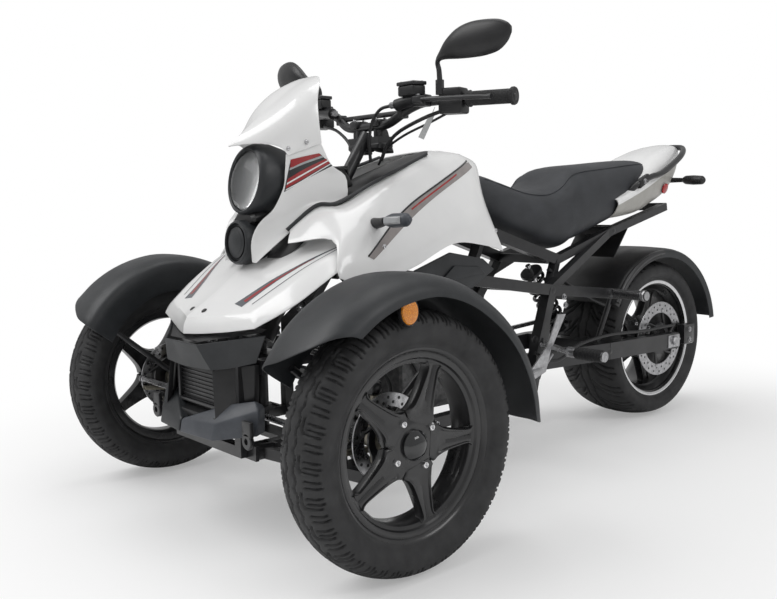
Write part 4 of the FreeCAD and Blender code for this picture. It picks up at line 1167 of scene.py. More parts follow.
def hull(name, points, body, mat, edge=4.0, angle=30):
    """A rounded solid round a set of points."""
    bm = bmesh.new()
    verts = [bm.verts.new(p) for p in points]
    made = bmesh.ops.convex_hull(bm, input=verts)
    inner = made["geom_interior"] + made["geom_unused"]
    spare = {item for item in inner if isinstance(item, bmesh.types.BMVert)}
    bmesh.ops.delete(bm, geom=list(spare), context="VERTS")
    bmesh.ops.dissolve_limit(bm, angle_limit=0.05, verts=bm.verts, edges=bm.edges)
    return finish_solid(name, bm, body, mat, edge, angle)


def plate(name, outline, depth, body, mat, edge=1.0, angle=28):
    """A flat plate: an outline of points made as deep as a direction."""
    bm = bmesh.new()
    near = [bm.verts.new(p) for p in outline]
    far = [bm.verts.new(p + depth) for p in outline]
    bm.faces.new(near)
    bm.faces.new(list(reversed(far)))
    for i in range(len(outline)):
        j = (i + 1) % len(outline)
        bm.faces.new((near[j], near[i], far[i], far[j]))
    return finish_solid(name, bm, body, mat, edge, angle)


def coil(name, start, end, radius, wire, turns, body, mat):
    """A coil spring between two points, sizes in mm."""
    way = (end - start).normalized()
    up = way.orthogonal().normalized()
    side = way.cross(up)
    points = []
    count = int(turns * 20)
    for i in range(count + 1):
        turn = 2 * math.pi * turns * i / count
        points.append(start.lerp(end, i / count) + (up * math.cos(turn) + side * math.sin(turn)) * radius
            / 1000)
    return bar(name, points, wire, body, mat, 1, 10)


def mid(a, b, share=0.5):
    return a.lerp(b, share)


# ---- handlebar, controls and mirrors ------------------------------------------------------------
BAR_LINE = [(78, 336, 910), (150, 352, 944), (215, 372, 955), (400, 432, 952)]


def handlebar():
    left = sided(BAR_LINE, 1)
    right = sided(BAR_LINE, -1)
    tube = bar("handlebar_tube", list(reversed(right)) + [front(0, 340, 908)] + left, 11, "bars", "frame",
        12, 24)
    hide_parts("handlebar")
    bar("handlebar_brace", sided([(-128, 347, 934), (128, 347, 934)]), 6.5, "bars", "frame")
    for side in (1, -1):
        word = "left" if side > 0 else "right"
        block(word + "_brace_clamp", front(side * 122, 346, 933), (16, 26, 26), "bars", "frame", None, 3)
        hull(word + "_riser", sided([(28, 330, 900), (56, 330, 900), (28, 354, 900), (56, 354, 900),
            (24, 332, 846), (60, 332, 846), (24, 372, 840), (60, 372, 840)], side), "bars", "black", 5)
        block(word + "_riser_cap", front(side * 42, 341, 914), (30, 42, 20), "bars", "frame", None, 5)
        for number, y in enumerate((326, 356)):
            cap_bolt(word + "_riser_bolt_%d" % (number + 1), front(side * 42, y, 923), Vector((0, 0, 1)),
                0.0042, "bars", "steel", 0.005)
    hull("steering_top_plate", [front(x, y, z) for x, y in ((-62, 318), (62, 318), (70, 356), (-70, 356),
        (30, 378), (-30, 378)) for z in (850, 866)], "bars", "frame", 4)
    block("ignition_lock", front(0, 332, 862), (30, 30, 34), "bars", "black", None, 6)
    turned("ignition_key_ring", [(0, 0.002), (0.008, 0.002), (0.010, 0.001), (0.011, 0)], front(0, 332, 879),
        Vector((0, 0, 1)), "bars", "steel", 24)


def ribbed_grips():
    for side, word in SIDES:
        end = front(side * 400, 432, 952)
        way = (end - front(side * 215, 372, 955)).normalized()
        profile = [(0.0112, -0.112), (0.0185, -0.112), (0.0195, -0.106), (0.0165, -0.102)]
        for ring in range(24):
            start = -0.098 + ring * 0.0038
            profile += [(0.0162, start), (0.0168, start + 0.0008), (0.0168, start + 0.0024),
                (0.0162, start + 0.003)]
        profile += [(0.0165, -0.004), (0.0202, -0.002), (0.0206, 0.003), (0.0192, 0.006), (0.0, 0.0065)]
        grip = turned(word + "_ribbed_grip", profile, end, way, "bars", "grip", 40, 50)
        if side > 0:
            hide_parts("grips")
        turned(word + "_bar_end", [(0, 0.0085), (0.008, 0.0085), (0.0105, 0.0065), (0.0105, 0.004)], end,
            way, "bars", "black", 28)


def controls():
    for side, word in SIDES:
        body = "bars"

        def at(x, y, z, side=side):
            return front(side * x, y, z)

        way = at(400, 432, 952) - at(215, 372, 955)
        tank = hull(word + "_reservoir", [at(x, y, z) for x, y
            in ((152, 304), (206, 306), (210, 342), (156, 340)) for z in (966, 990)], body, "black", 4)
        if side > 0:
            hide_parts("handlebar_controls")
        hull(word + "_reservoir_lid", [at(x, y, z) for x, y
            in ((150, 302), (208, 304), (212, 344), (154, 342)) for z in (990, 999)], body, "frame", 2.5)
        for number, (x, y) in enumerate(((160, 310), (203, 336))):
            cap_bolt(word + "_lid_screw_%d" % (number + 1), at(x, y, 998.5), Vector((0, 0, 1)), 0.0028, body,
                "steel", 0.002)
        bar(word + "_master_cylinder", [at(128, 322, 950), at(204, 330, 962)], 14, body, "frame")
        bar(word + "_banjo_bolt", [at(110, 318, 950), at(130, 322, 951)], 8, body, "steel", 1, 6, 20)
        block(word + "_lever_perch", at(190, 346, 956), (40, 36, 28), body, "frame", way, 5)
        block(word + "_lever_boss", at(206, 322, 956), (26, 22, 18), body, "frame", way, 4)
        bar(word + "_lever_blade", [at(206, 318, 956), at(250, 328, 954), at(318, 352, 952),
            at(366, 372, 950), at(384, 378, 950)], (5.5, 6, 5.5, 5, 6.5), body, "frame", 8)
        cap_bolt(word + "_lever_pivot", at(206, 320, 965), Vector((0, 0, 1)), 0.005, body, "steel", 0.004)
        block(word + "_switch_upper", at(256, 386, 970), (58, 42, 22), body, "black", way, 5)
        block(word + "_switch_lower", at(257, 386, 938), (62, 44, 34), body, "black", way, 6)
        for number, (x, z) in enumerate(((244, 972), (266, 971), (250, 946), (268, 936))):
            block(word + "_switch_%d" % (number + 1), at(x, 406 + (x - 250) * 0.33, z), (11, 9, 9), body,
                "grey", way, 2)
        bar(word + "_mirror_foot", [at(236, 362, 966), at(236, 362, 1000)], 10, body, "frame", 1, 6, 20)
    block("red_stop_switch", front(-256, 364, 980), (16, 10, 9), "bars", "red", None, 2.5)
    bar("throttle_cable", sided([(-246, 380, 930), (-200, 352, 922), (-120, 330, 905), (-60, 322, 868),
        (-40, 318, 820)]), 4, "bars", "black", 8, 12)
    bar("clutch_cable", sided([(232, 372, 930), (190, 350, 915), (120, 338, 890), (84, 330, 862),
        (60, 326, 822)]), 4.5, "bars", "black", 8, 12)
    bar("brake_hose_upper", sided([(112, 318, 950), (84, 306, 942), (60, 300, 912), (48, 300, 868),
        (44, 306, 820)]), 4, "bars", "black", 8, 12)
    bar("switch_wire", sided([(240, 380, 924), (200, 362, 905), (130, 344, 880), (78, 330, 850),
        (50, 326, 812)]), 3, "bars", "black", 8, 10)
    bar("tag_string", sided([(214, 366, 940), (206, 360, 918)]), 0.8, "bars", "white", 1, 6)
    plate("hang_tag", sided([(216, 364, 924), (206, 354, 922), (178, 344, 872), (188, 352, 866)]),
        Vector((0.0003, 0.0008, 0)), "bars", "tag", 0.2)


def mirror_head(word, side):
    """A teardrop mirror: a neck that swells into a flat head, with glass to the rear."""
    stations = [(250, 346, 1044, 8, 8), (266, 342, 1051, 13, 11), (288, 340, 1061, 25, 15),
        (318, 342, 1069, 37, 18), (352, 348, 1073, 43, 19), (388, 356, 1074, 43, 18),
        (420, 365, 1076, 37, 15), (440, 371, 1080, 23, 10), (449, 374, 1084, 8, 4)]
    sections = []
    for x, y, z, high, deep in stations:
        ring = []
        for seg in range(32):
            turn = 2 * math.pi * seg / 32
            s = math.sin(turn)
            c = math.cos(turn)
            ring.append(front(side * x, y - deep * (c if c > 0 else c * 0.35), z + high * 0.9 * s))
        sections.append(ring)
    head = loft_sections(word + "_mirror_head", sections, "bars", "black", 5, 50)
    glass = []
    for seg in range(40):
        turn = 2 * math.pi * seg / 40
        x = 368 + 66 * math.cos(turn)
        glass.append(front(side * x, 358 + (x - 368) * 0.22,
            1073 + 31 * math.sin(turn) * (1 - 0.12 * math.cos(turn))))
    plate(word + "_mirror_glass", glass, Vector((0, 0.002, 0)), "bars", "glass", 0.6)
    bar(word + "_mirror_stem", sided([(236, 362, 998), (236, 360, 1022), (240, 352, 1038), (254, 346, 1049)],
        side), (6.5, 6, 5.5, 6), "bars", "frame", 8)
    return head


def mirrors():
    head = mirror_head("left", 1)
    mirror_head("right", -1)
    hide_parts("mirrors")


# ---- front end ----------------------------------------------------------------------------------
def bumper():
    """Grey flap, dark tray with a radiator recess, skid plates and tow eyes."""
    body = "chassis"
    flap = sheet("bumper_flap", [coons(
        sided(((-100, -188, 374), (0, -196, 372), (100, -188, 374))),
        sided(((-72, -206, 428), (0, -214, 430), (72, -206, 428))),
        sided(((-100, -188, 374), (-86, -197, 400), (-72, -206, 428))),
        sided(((100, -188, 374), (86, -197, 400), (72, -206, 428))), 12, 6)]
        + [coons(sided([(100, -188, 374), (140, -158, 380), (176, -122, 390)], side),
                 sided([(72, -206, 428), (140, -160, 440), (212, -120, 452)], side),
                 sided([(100, -188, 374), (86, -197, 400), (72, -206, 428)], side),
                 sided([(176, -122, 390), (196, -121, 424), (212, -120, 452)], side), 12, 6)
           for side in (1, -1)], front(0, 0, 400), 0.004, body, "grey", 16, 0.0012)
    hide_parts("front_bumper")
    hull("bumper_shadow_gap", sided((
        (-64, -196, 432), (64, -196, 432), (-196, -118, 456), (196, -118, 456), (-64, -170, 446),
        (64, -170, 446), (-190, -100, 462), (190, -100, 462))), body, "black", 2)
    for side, word in SIDES:
        plate(word + "_bumper_cheek", sided([(96, -184, 372), (170, -122, 386), (160, -122, 262),
            (112, -190, 262)], side), Vector((0, 0.012, 0)), body, "black", 2)
        # painted light and shade: the near skid is the lighter blue-grey and the far one the dark grey, one
        # plate in two tones for how the light falls
        hull(word + "_skid", sided([(2, -218, 228), (2, -212, 258), (118, -204, 226), (120, -196, 262),
            (208, -146, 242), (208, -140, 296), (186, -134, 314), (118, -160, 300), (2, -180, 256),
            (2, -170, 232), (118, -150, 230), (196, -118, 246), (190, -112, 300)], side), body,
            "blue_grey" if side > 0 else "grey", 4, 24)
        block(word + "_tow_eye_arm", front(side * 206, -167, 262), (34, 10, 34), body, "frame", None, 3)
        turned(word + "_tow_eye", [(0.007, 0), (0.016, 0), (0.018, 0.002), (0.018, 0.008), (0.016, 0.010),
            (0.007, 0.010), (0.007, 0)], front(side * 206, -162, 236), Vector((0, -1, 0)), body, "frame", 40)
    hull("bumper_floor", sided((
        (-112, -190, 258), (112, -190, 258), (-112, -190, 272), (112, -190, 272), (-118, -120, 262),
        (118, -120, 262), (-118, -120, 280), (118, -120, 280))), body, "black", 3)
    block("radiator_core", front(0, -150, 318), (176, 22, 96), body, "black", None, 3)
    for row in range(9):
        block("radiator_fin_%d" % (row + 1), front(0, -163, 282 + row * 9), (160, 3, 2.2), body, "frame",
            None, 0.6)
    for side, word in SIDES:
        block(word + "_radiator_post", front(side * 84, -164, 318), (10, 14, 100), body, "frame", None, 3)
    block("radiator_bar", front(0, -168, 286), (170, 8, 8), body, "frame", None, 2)


def front_running_gear():
    """Coil springs over dampers, brake hoses and the small parts at the front axle."""
    for side, word in SIDES:
        foot = front(side * 330, 0, 222)
        head = front(side * 200, 0, 500)
        shell = bar(word + "_damper_body", [mid(foot, head, 0.10), mid(foot, head, 0.52)], 17, "chassis",
            "gloss", 1, 28)
        if side > 0:
            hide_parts("front_shocks")
        bar(word + "_damper_rod", [mid(foot, head, 0.5), mid(foot, head, 0.97)], 7, "chassis", "chrome", 1,
            20)
        coil(word + "_coil_spring", mid(foot, head, 0.2), mid(foot, head, 0.84), 23, 4.2, 8.5, "chassis",
            "gloss")
        for label, share in (("lower_seat", 0.185), ("upper_seat", 0.855)):
            way = (head - foot).normalized()
            turned(word + "_spring_" + label, [(0, -0.005), (0.026, -0.005), (0.0275, -0.003),
                (0.0275, 0.003), (0.026, 0.005), (0, 0.005)], mid(foot, head, share), way, "chassis",
                "frame", 36)
        for label, place in (("foot", foot), ("head", head)):
            bar(word + "_strut_%s_bush" % label, [place - Vector((0, 0.015, 0)),
                place + Vector((0, 0.015, 0))], 14, "chassis", "frame", 1, 28)
            cap_bolt(word + "_strut_%s_bolt" % label, place - Vector((0, 0.0225, 0)), Vector((0, -1, 0)),
                0.0065, "chassis", "steel", 0.007)
        bar(word + "_front_brake_hose", sided([(392, 62, 300), (380, 70, 352), (330, 60, 400),
            (250, 50, 430), (180, 40, 440)], side), 4, "chassis", "black", 8, 12)


def lower_front():
    """Gasket band, black wedges, dash tray, intake cover and the front turn signals."""
    body = "chassis"
    tray = sheet("dash_tray", [grid_rows([
        sided(((-90, 150, 700), (-94, 260, 742), (-92, 360, 784), (-66, 450, 820),
                                        (-40, 528, 846))),
        sided(((0, 150, 716), (0, 260, 752), (0, 360, 796), (0, 450, 832),
                                        (0, 528, 852))),
        sided(((90, 150, 700), (94, 260, 742), (92, 360, 784), (66, 450, 820),
                                        (40, 528, 846)))], 30, 10)], front(0, 340, 700), 0.003, body,
        "black", 40)
    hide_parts("dash_panel")
    hull("dash_pod", sided((
        (-66, 150, 740), (66, 150, 740), (-60, 246, 760), (60, 246, 760), (-52, 150, 812), (52, 150, 812),
        (-44, 226, 806), (44, 226, 806))), body, "black", 10)
    block("dash_screen", front(0, 238, 790), (84, 4, 40), body, "cap", None, 1.5)
    for side, word in SIDES:
        hull(word + "_jaw_wedge", sided([(70, 20, 640), (96, 54, 672), (112, 96, 700), (128, 100, 690),
            (122, 56, 640), (104, 10, 600), (60, -20, 600), (60, 60, 690), (84, 110, 706)], side), body,
            "black", 4)
        cap_bolt(word + "_wedge_bolt", front(side * 119, 62, 664), Vector((side, -0.35, 0.25)), 0.0055, body,
            "steel", 0.005)
        bar(word + "_gasket_band", sided([(98, 18, 664), (118, 84, 716), (134, 134, 722), (130, 236, 764),
            (118, 318, 794), (92, 448, 838)], side), 4.5, body, "grey", 10, 12)
        signal = bar(word + "_front_signal_stalk", sided([(214, 176, 674), (240, 172, 676), (262, 168, 680)],
            side), (13, 11, 9), body, "black", 8)
        if side > 0:
            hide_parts("turn_signals")
        bar(word + "_front_signal_body", sided([(262, 170, 680), (284, 172, 681), (322, 176, 683),
            (334, 178, 684)], side), (10, 16, 15, 6), body, "blue_grey", 8, 24)
        hull(word + "_front_signal_lens", sided([(272, 156, 672), (322, 160, 674), (322, 160, 692),
            (272, 156, 690), (276, 150, 676), (318, 154, 678), (318, 154, 688), (276, 150, 688)], side),
            body, "stripe_silver", 1.5)
    cover = None
    for side, word in SIDES:
        outline = sided([(182, 322, 556), (184, 440, 594), (184, 556, 572), (182, 598, 542), (178, 520, 498),
            (178, 384, 498)], side)
        cover = plate(word + "_grey_cover", outline, Vector((-side * 0.008, 0, 0)), body, "grey", 3)
        if side > 0:
            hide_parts("lower_side_covers")
        plate(word + "_cover_rib", sided([(186, 400, 520), (188, 450, 560), (188, 540, 552),
            (186, 560, 534)], side), Vector((-side * 0.006, 0, 0)), body, "grey", 1.5)


# ---- brakes and knuckles ------------------------------------------------------------------------
def brake_disc(word, node, body, centre, side, outer, inner, arms, holes):
    """A drilled steel ring on a black carrier with arms."""
    ring = lathe(word + "_brake_ring", [(-0.002, inner), (0.002, inner), (0.002, outer - 0.0006),
        (0.0014, outer), (-0.0014, outer), (-0.002, outer - 0.0006)], centre, body, "steel", 96)
    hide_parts(node)
    lathe(word + "_carrier_ring", [(-0.0028, 0.036), (0.0028, 0.036), (0.0028, 0.052), (-0.0028, 0.052)],
        centre, body, "frame", 64)
    across = Vector((side, 0, 0))
    for number in range(arms):
        turn = 2 * math.pi * number / arms
        way = Vector((0, math.cos(turn), math.sin(turn)))
        lean = Vector((0, math.cos(turn + 0.35), math.sin(turn + 0.35)))
        bar("%s_carrier_arm_%d" % (word, number + 1), [centre + way * 0.048,
            centre + lean * (inner + 0.004)], 4.5, body, "frame", 1, 10)
        turned("%s_disc_button_%d" % (word, number + 1), [(0, 0.0042), (0.005, 0.0042), (0.006, 0.002)],
            centre + lean * (inner + 0.005), across, body, "alloy", 18)
    rows = ((0.32, 0.0), (0.68, 0.5))
    for share, shift in rows:
        for number in range(holes):
            turn = 2 * math.pi * (number + shift) / holes
            radius = inner + (outer - inner) * share
            place = centre + Vector((0, radius * math.cos(turn), radius * math.sin(turn)))
            bar("%s_drilling_%d_%d" % (word, int(share * 100), number + 1),
                [place - across * 0.0022, place + across * 0.0022], 3.4, body, "black", 1, 12)


def discs():
    for side, word in SIDES:
        centre = Vector((side * (HALF_TRACK - 0.042), FRONT_Y, FRONT_AXLE_Z))
        brake_disc(word, word + "_disc", word + "_wheel", centre, side, 0.090, 0.062, 5, 18)
    brake_disc("rear", "rear_disc", "rear_wheel", Vector((0.112, REAR_Y, REAR_AXLE_Z)), 1, 0.120, 0.084, 6,
        22)
    lathe("rear_bright_lip", [(0.0965, 0.1895), (0.0985, 0.1895), (0.0990, 0.1865), (0.0975, 0.1815),
        (0.0960, 0.1790), (0.0950, 0.1800)], Vector((0, REAR_Y, REAR_AXLE_Z)), "rear_wheel", "chrome", 128)


def knuckles():
    """Cast uprights with calipers; the fender's stays are black."""
    for side, word in SIDES:
        body = word + "_upright"
        x = HALF_TRACK * 1000 - 78

        def at(dx, y, z, x=x, side=side):
            return front(side * (x + dx), y, z)

        post = bar(word + "_kingpin_post", [at(0, 0, 182), at(0, 0, 215), at(0, 0, 262), at(0, 0, 310),
            at(0, 0, 342)], (13, 15, 15, 15, 12), body, "knuckle", 6, 28)
        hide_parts(word + "_knuckle")
        bar(word + "_axle_boss", [at(-20, 0, 262), at(22, 0, 262)], 28, body, "knuckle", 1, 40)
        hull(word + "_steering_arm", [at(-8, 0, 240), at(8, 0, 240), at(-8, 0, 228), at(8, 0, 228),
            at(6, -95, 250), at(22, -95, 250), at(6, -95, 238), at(22, -95, 238)], body, "knuckle", 4)
        grip = at(36, 0, 262)
        block(word + "_caliper", grip + Vector((-side * 0.012, 0.080, 0.021)), (18, 50, 60), body, "knuckle",
            None, 6)
        block(word + "_caliper_outer", grip + Vector((side * 0.0125, 0.080, 0.021)), (16, 46, 54), body,
            "knuckle", None, 5)
        block(word + "_caliper_bridge", grip + Vector((0, 0.101, 0.021)), (40, 8, 46), body, "knuckle", None,
            3)
        for number, z in enumerate((-4, 44)):
            cap_bolt("%s_caliper_pin_%d" % (word, number + 1),
                grip + Vector((-side * 0.021, 0.080, z / 1000)), Vector((-side, 0, 0)), 0.005, body, "steel",
                0.006)
        for way in (-1, 1):
            bar("%s_stay_%s" % (word, "rear" if way > 0 else "front"),
                [at(-8, way * 6, 266), front(side * (HALF_TRACK * 1000 - 88), way * 192, 420)], 7, body,
                "frame", 1, 16)
        bar(word + "_caliper_hose", [at(22, 84, 310), at(6, 80, 326), at(-20, 62, 318), at(-31, 62, 302)], 4,
            body, "black", 8, 12)


# ---- engine, frame side and rear ----------------------------------------------------------------
def engine_block():
    """Crankcase with covers, cylinder fins and a head, all inside the plain block."""
    body = "chassis"
    case = block("crankcase", front(0, 500, 262), (216, 330, 150), body, "cast", None, 16)
    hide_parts("engine")
    block("gearbox", front(0, 626, 300), (190, 120, 130), body, "cast", None, 18)
    block("cylinder_core", front(0, 392, 384), (116, 112, 128), body, "cast", None, 8)
    for row in range(9):
        block("cylinder_fin_%d" % (row + 1), front(0, 392, 340 + row * 12.5), (152, 146, 3.2), body, "cast",
            None, 1.2)
    block("cylinder_head", front(0, 392, 457), (140, 130, 18), body, "frame", None, 6)
    for side, word in SIDES:
        turned(word + "_engine_cover", [(0, 0.026), (0.052, 0.026), (0.064, 0.021), (0.072, 0.010),
            (0.074, 0.0)], front(side * 94, 470, 262), Vector((side, 0, 0)), body, "cast", 56)
        turned(word + "_gear_cover", [(0, 0.022), (0.034, 0.022), (0.044, 0.016), (0.048, 0.0)],
            front(side * 94, 592, 270), Vector((side, 0, 0)), body, "cast", 48)
        for number in range(7):
            turn = 2 * math.pi * number / 7
            cap_bolt(word + "_cover_bolt_%d" % (number + 1),
                front(side * 110, 470 + 62 * math.cos(turn), 262 + 62 * math.sin(turn)),
                Vector((side, 0, 0)), 0.0042, body, "steel", 0.004)
    for side in (1, -1):
        for number, z in enumerate((372, 420)):
            bar("cylinder_stud_%d_%d" % (number + 1, 1 if side > 0 else 2),
                [front(side * 62, 340, z), front(side * 62, 352, z)], 4, body, "steel", 1, 6, 20)
    bar("intake_pipe", sided([(30, 450, 440), (34, 500, 452), (40, 560, 444)]), 21, body, "black", 8)
    bar("oil_line", sided([(112, 420, 230), (118, 380, 300), (100, 340, 380), (60, 330, 440)]), 5, body,
        "black", 8, 12)


def frame_details():
    """Gussets, bolts, brackets and cables along the frame."""
    body = "chassis"
    for side, word in SIDES:
        for number, (x, y, z) in enumerate(((164, 897, 444), (162, 905, 420), (170, 520, 520),
                (146, 180, 388), (166, 400, 168), (166, 752, 178), (164, 795, 320), (166, 1110, 436))):
            cap_bolt(word + "_frame_bolt_%d" % (number + 1), front(side * (x + 1), y, z),
                Vector((side, 0, 0)), 0.0062, body, "steel", 0.006)
        plate(word + "_pivot_plate", sided([(134, 776, 214), (134, 826, 214), (140, 856, 300),
            (146, 856, 392), (146, 820, 404), (138, 786, 320)], side), Vector((side * 0.005, 0, 0)), body,
            "frame", 1.2)
        turned(word + "_pivot_nut", [(0, 0.010), (0.012, 0.010), (0.014, 0.008), (0.014, 0.0)],
            front(side * 139, 800, 262), Vector((side, 0, 0)), body, "steel", 6, 20)
        plate(word + "_peg_bracket", sided([(198, 826, 404), (196, 862, 402), (190, 806, 306),
            (186, 790, 248), (182, 716, 222), (182, 690, 226), (184, 742, 268), (192, 788, 320)], side),
            Vector((side * 0.005, 0, 0)), body, "alloy", 1.2)
        bar(word + "_foot_lever", sided([(176, 830, 290), (186, 780, 262), (196, 700, 250), (200, 668, 262)],
            side), (6, 6, 5.5, 5), body, "alloy", 8, 16)
        bar(word + "_foot_pad", sided([(200, 668, 262), (236, 668, 262)], side), 8, body, "grip", 1, 20)
    bar("rear_brake_hose", [front(166, 770, 300), front(172, 860, 268), rear(166, -480, 300),
        rear(164, -330, 312), rear(160, -160, 304), rear(140, 40, 300)], 5, body, "black", 10, 12)
    bar("wiring_sheath", rear_sided([(120, -560, 520), (128, -480, 470), (132, -400, 430),
        (140, -330, 400)]), 6, body, "black", 8, 12)
    for side, word in SIDES:
        bar(word + "_rider_peg_rubber", sided([(250, 847, 300), (338, 847, 300)], side), 15.5, body, "grip",
            1, 28)
        for ring in range(9):
            place = front(side * (256 + ring * 9.5), 847, 300)
            turned(word + "_peg_rib_%d" % (ring + 1), [(0.0150, -0.002), (0.0172, -0.0012), (0.0172, 0.0012),
                (0.0150, 0.002)], place, Vector((side, 0, 0)), body, "grip", 28)
        profile = [(0, 0), (0.0125, 0)]
        for ring in range(22):
            start = 0.002 + ring * 0.0042
            profile += [(0.0128, start), (0.0145, start + 0.001), (0.0145, start + 0.0024),
                (0.0128, start + 0.0034)]
        profile += [(0.0125, 0.098), (0.0150, 0.100), (0.0150, 0.108), (0.013, 0.111), (0, 0.111)]
        turned(word + "_passenger_peg", profile, rear(side * 178, -330, 436), Vector((side, 0, 0)), body,
            "frame", 32, 50)
        turned(word + "_peg_ring", [(0.0152, 0.099), (0.0162, 0.101), (0.0162, 0.107), (0.0152, 0.109)],
            rear(side * 178, -330, 436), Vector((side, 0, 0)), body, "alloy", 32)


def tail():
    """White tail cowl whose underside is coloured a darker warm grey as painted shade, grab rail, tail light
    and rear signals.
    """
    body = "chassis"
    stations = [(rear(0, -252, 0), 134, 654, 694, 724), (rear(0, -180, 0), 131, 658, 716, 748),
        (rear(0, -100, 0), 126, 668, 742, 790), (rear(0, -20, 0), 112, 690, 768, 836),
        (rear(0, 60, 0), 98, 716, 796, 866), (rear(0, 130, 0), 78, 752, 822, 884),
        (rear(0, 186, 0), 54, 798, 846, 888), (rear(0, 204, 0), 40, 826, 858, 884)]
    lines_up = []
    lines_low = []
    for place, half, low, middle, high in stations:
        y = place.y

        def spot(x, z, y=y):
            return Vector((x / 1000, y, z / 1000))

        top = high if place.y > REAR_Y - 0.03 else min(high, 796)
        lines_up.append([spot(half, middle), spot(half * 0.97, middle + (top - middle) * 0.5),
            spot(half * 0.74, top - 6), spot(half * 0.36, top), spot(0, top + 2), spot(-half * 0.36, top),
            spot(-half * 0.74, top - 6), spot(-half * 0.97, middle + (top - middle) * 0.5),
            spot(-half, middle)])
        lines_low.append([spot(half, middle), spot(half * 0.86, low + (middle - low) * 0.3),
            spot(half * 0.6, low), spot(0, low - 4), spot(-half * 0.6, low),
            spot(-half * 0.86, low + (middle - low) * 0.3), spot(-half, middle)])
    inside = rear(0, -40, 760)
    upper = sheet("tail_upper", [grid_rows(lines_up, 32, 6)], inside, 0.003, body, "white", 32)
    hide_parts("tail_cowl")
    # painted shade: the underside sheet is white coloured a darker warm grey where shade falls
    sheet("tail_lower", [grid_rows(lines_low, 28, 6)], inside, 0.003, body, "white_in_shade", 32)
    hull("tail_closing", rear_sided((
        (-38, 196, 828), (38, 196, 828), (-38, 196, 882), (38, 196, 882), (-36, 202, 834), (36, 202, 834),
        (-36, 202, 878), (36, 202, 878))), body, "black", 2)
    side_line = [(96, -186, 708), (128, -150, 756), (134, -90, 778), (132, -30, 790), (116, 60, 820),
        (96, 140, 852), (64, 196, 874), (30, 210, 880)]
    points = [rear(x, y, z) for x, y, z in side_line]
    other = [rear(-x, y, z) for x, y, z in reversed(side_line)]
    rail = bar("grab_rail_bar", points + other, 9.5, body, "frame", 6, 22)
    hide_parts("grab_rail")
    for side, word in SIDES:
        hull(word + "_rail_clamp", rear_sided((
            (124, -150, 742), (141, -150, 742), (124, -104, 764), (141, -104, 764), (124, -150, 770),
            (141, -150, 770), (126, -104, 790), (141, -104, 790)), side), body, "black", 4)
        cap_bolt(word + "_rail_bolt", rear(side * 141, -128, 766), Vector((side, 0, 0)), 0.006, body,
            "steel", 0.005)
        bar(word + "_rear_signal_stalk", rear_sided([(50, 130, 770), (112, 130, 769)], side), (9, 7), body,
            "black", 1)
        bar(word + "_rear_signal_body", rear_sided([(110, 131, 769), (122, 130, 769), (150, 128, 768),
            (180, 128, 767), (189, 128, 767)], side), (8, 14, 15.5, 14, 7), body, "black", 8, 28)
        hull(word + "_rear_signal_lens", rear_sided((
            (126, 140, 760), (176, 139, 759), (176, 139, 776), (126, 140, 777), (130, 146, 763),
            (172, 145, 762), (172, 145, 773), (130, 146, 774)), side), body, "amber", 1.2)
        turned(word + "_rear_reflector", [(0, 0.003), (0.012, 0.0028), (0.0165, 0.001), (0.017, -0.003)],
            rear(side * 97, 48, 742), Vector((side, 0.15, -0.3)).normalized(), body, "red", 36)
    light = hull("tail_light_lens", rear_sided((
        (-35, 192, 808), (35, 192, 808), (-31, 194, 846), (31, 194, 846), (-28, 204, 814),
        (28, 204, 814), (-25, 205, 842), (25, 205, 842))), body, "red", 3)
    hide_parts("tail_light")
    hull("tail_light_base", rear_sided((
        (-38, 176, 802), (38, 176, 802), (-34, 178, 852), (34, 178, 852), (-38, 194, 802), (38, 194, 802),
        (-34, 196, 852), (34, 196, 852))), body, "black", 3)


def number_plate():
    """The blank plate on its bracket below the tail."""
    body = "chassis"
    way = Vector((0, math.cos(math.radians(-38)), math.sin(math.radians(-38))))
    up = Vector((0, -way.z, way.y))
    centre = rear(0, -180, 582)
    corners = []
    for x, h in ((-94, -61), (94, -61), (94, 61), (-94, 61)):
        corners.append(centre + Vector((x / 1000, 0, 0)) + up * (h / 1000) - way * 0.002)
    holder = plate("plate_holder", corners, way * 0.0036, body, "black", 1.4)
    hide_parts("plate_bracket")
    hull("plate_arm", rear_sided((
        (-28, -246, 616), (28, -246, 616), (-28, -246, 626), (28, -246, 626), (-34, -178, 594),
        (34, -178, 594), (-34, -178, 606), (34, -178, 606))), body, "black", 2)
    for number, x in enumerate((-72.5, 72.5)):
        turned("plate_eyelet_%d" % (number + 1), [(0.0033, 0), (0.0055, 0), (0.0055, 0.0012),
            (0.0033, 0.0012), (0.0033, 0)], rear(x, -180, 582) + way * 0.0016, way, body, "steel", 24)


def rear_mudguard():
    """Thick black hoop and the grey rear part with a cut for the wheel arch."""
    def line(across, radius, start, end, count=15):
        points = []
        for step in range(count):
            turn = math.radians(start + (end - start) * step / (count - 1))
            stretch = 305 / (296 * math.cos(math.radians(8)))
            points.append(rear(across, radius * math.cos(turn) * stretch, 258 + radius * math.sin(turn)))
        return points

    outline = [(-132, 264), (-128, 290), (-60, 296), (0, 297), (60, 296), (128, 290), (132, 264)]
    lines = [line(x, r, 9, 96) for x, r in outline]
    back = sheet("rear_guard", [grid_rows(lines, 40, 5)], rear(0, 0, 258), 0.003, "chassis", "grey", 30,
        0.0012)
    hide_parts("rear_fender")
    lines = [line(x, r, 94, 152) for x, r in outline]
    sheet("rear_guard_front", [grid_rows(lines, 28, 5)], rear(0, 0, 258), 0.004, "chassis", "black", 30,
        0.0015)
    for side, word in SIDES:
        bar(word + "_guard_hoop", line(side * 131, 282, 92, 150, 12), 8.5, "chassis", "frame", 4, 18)


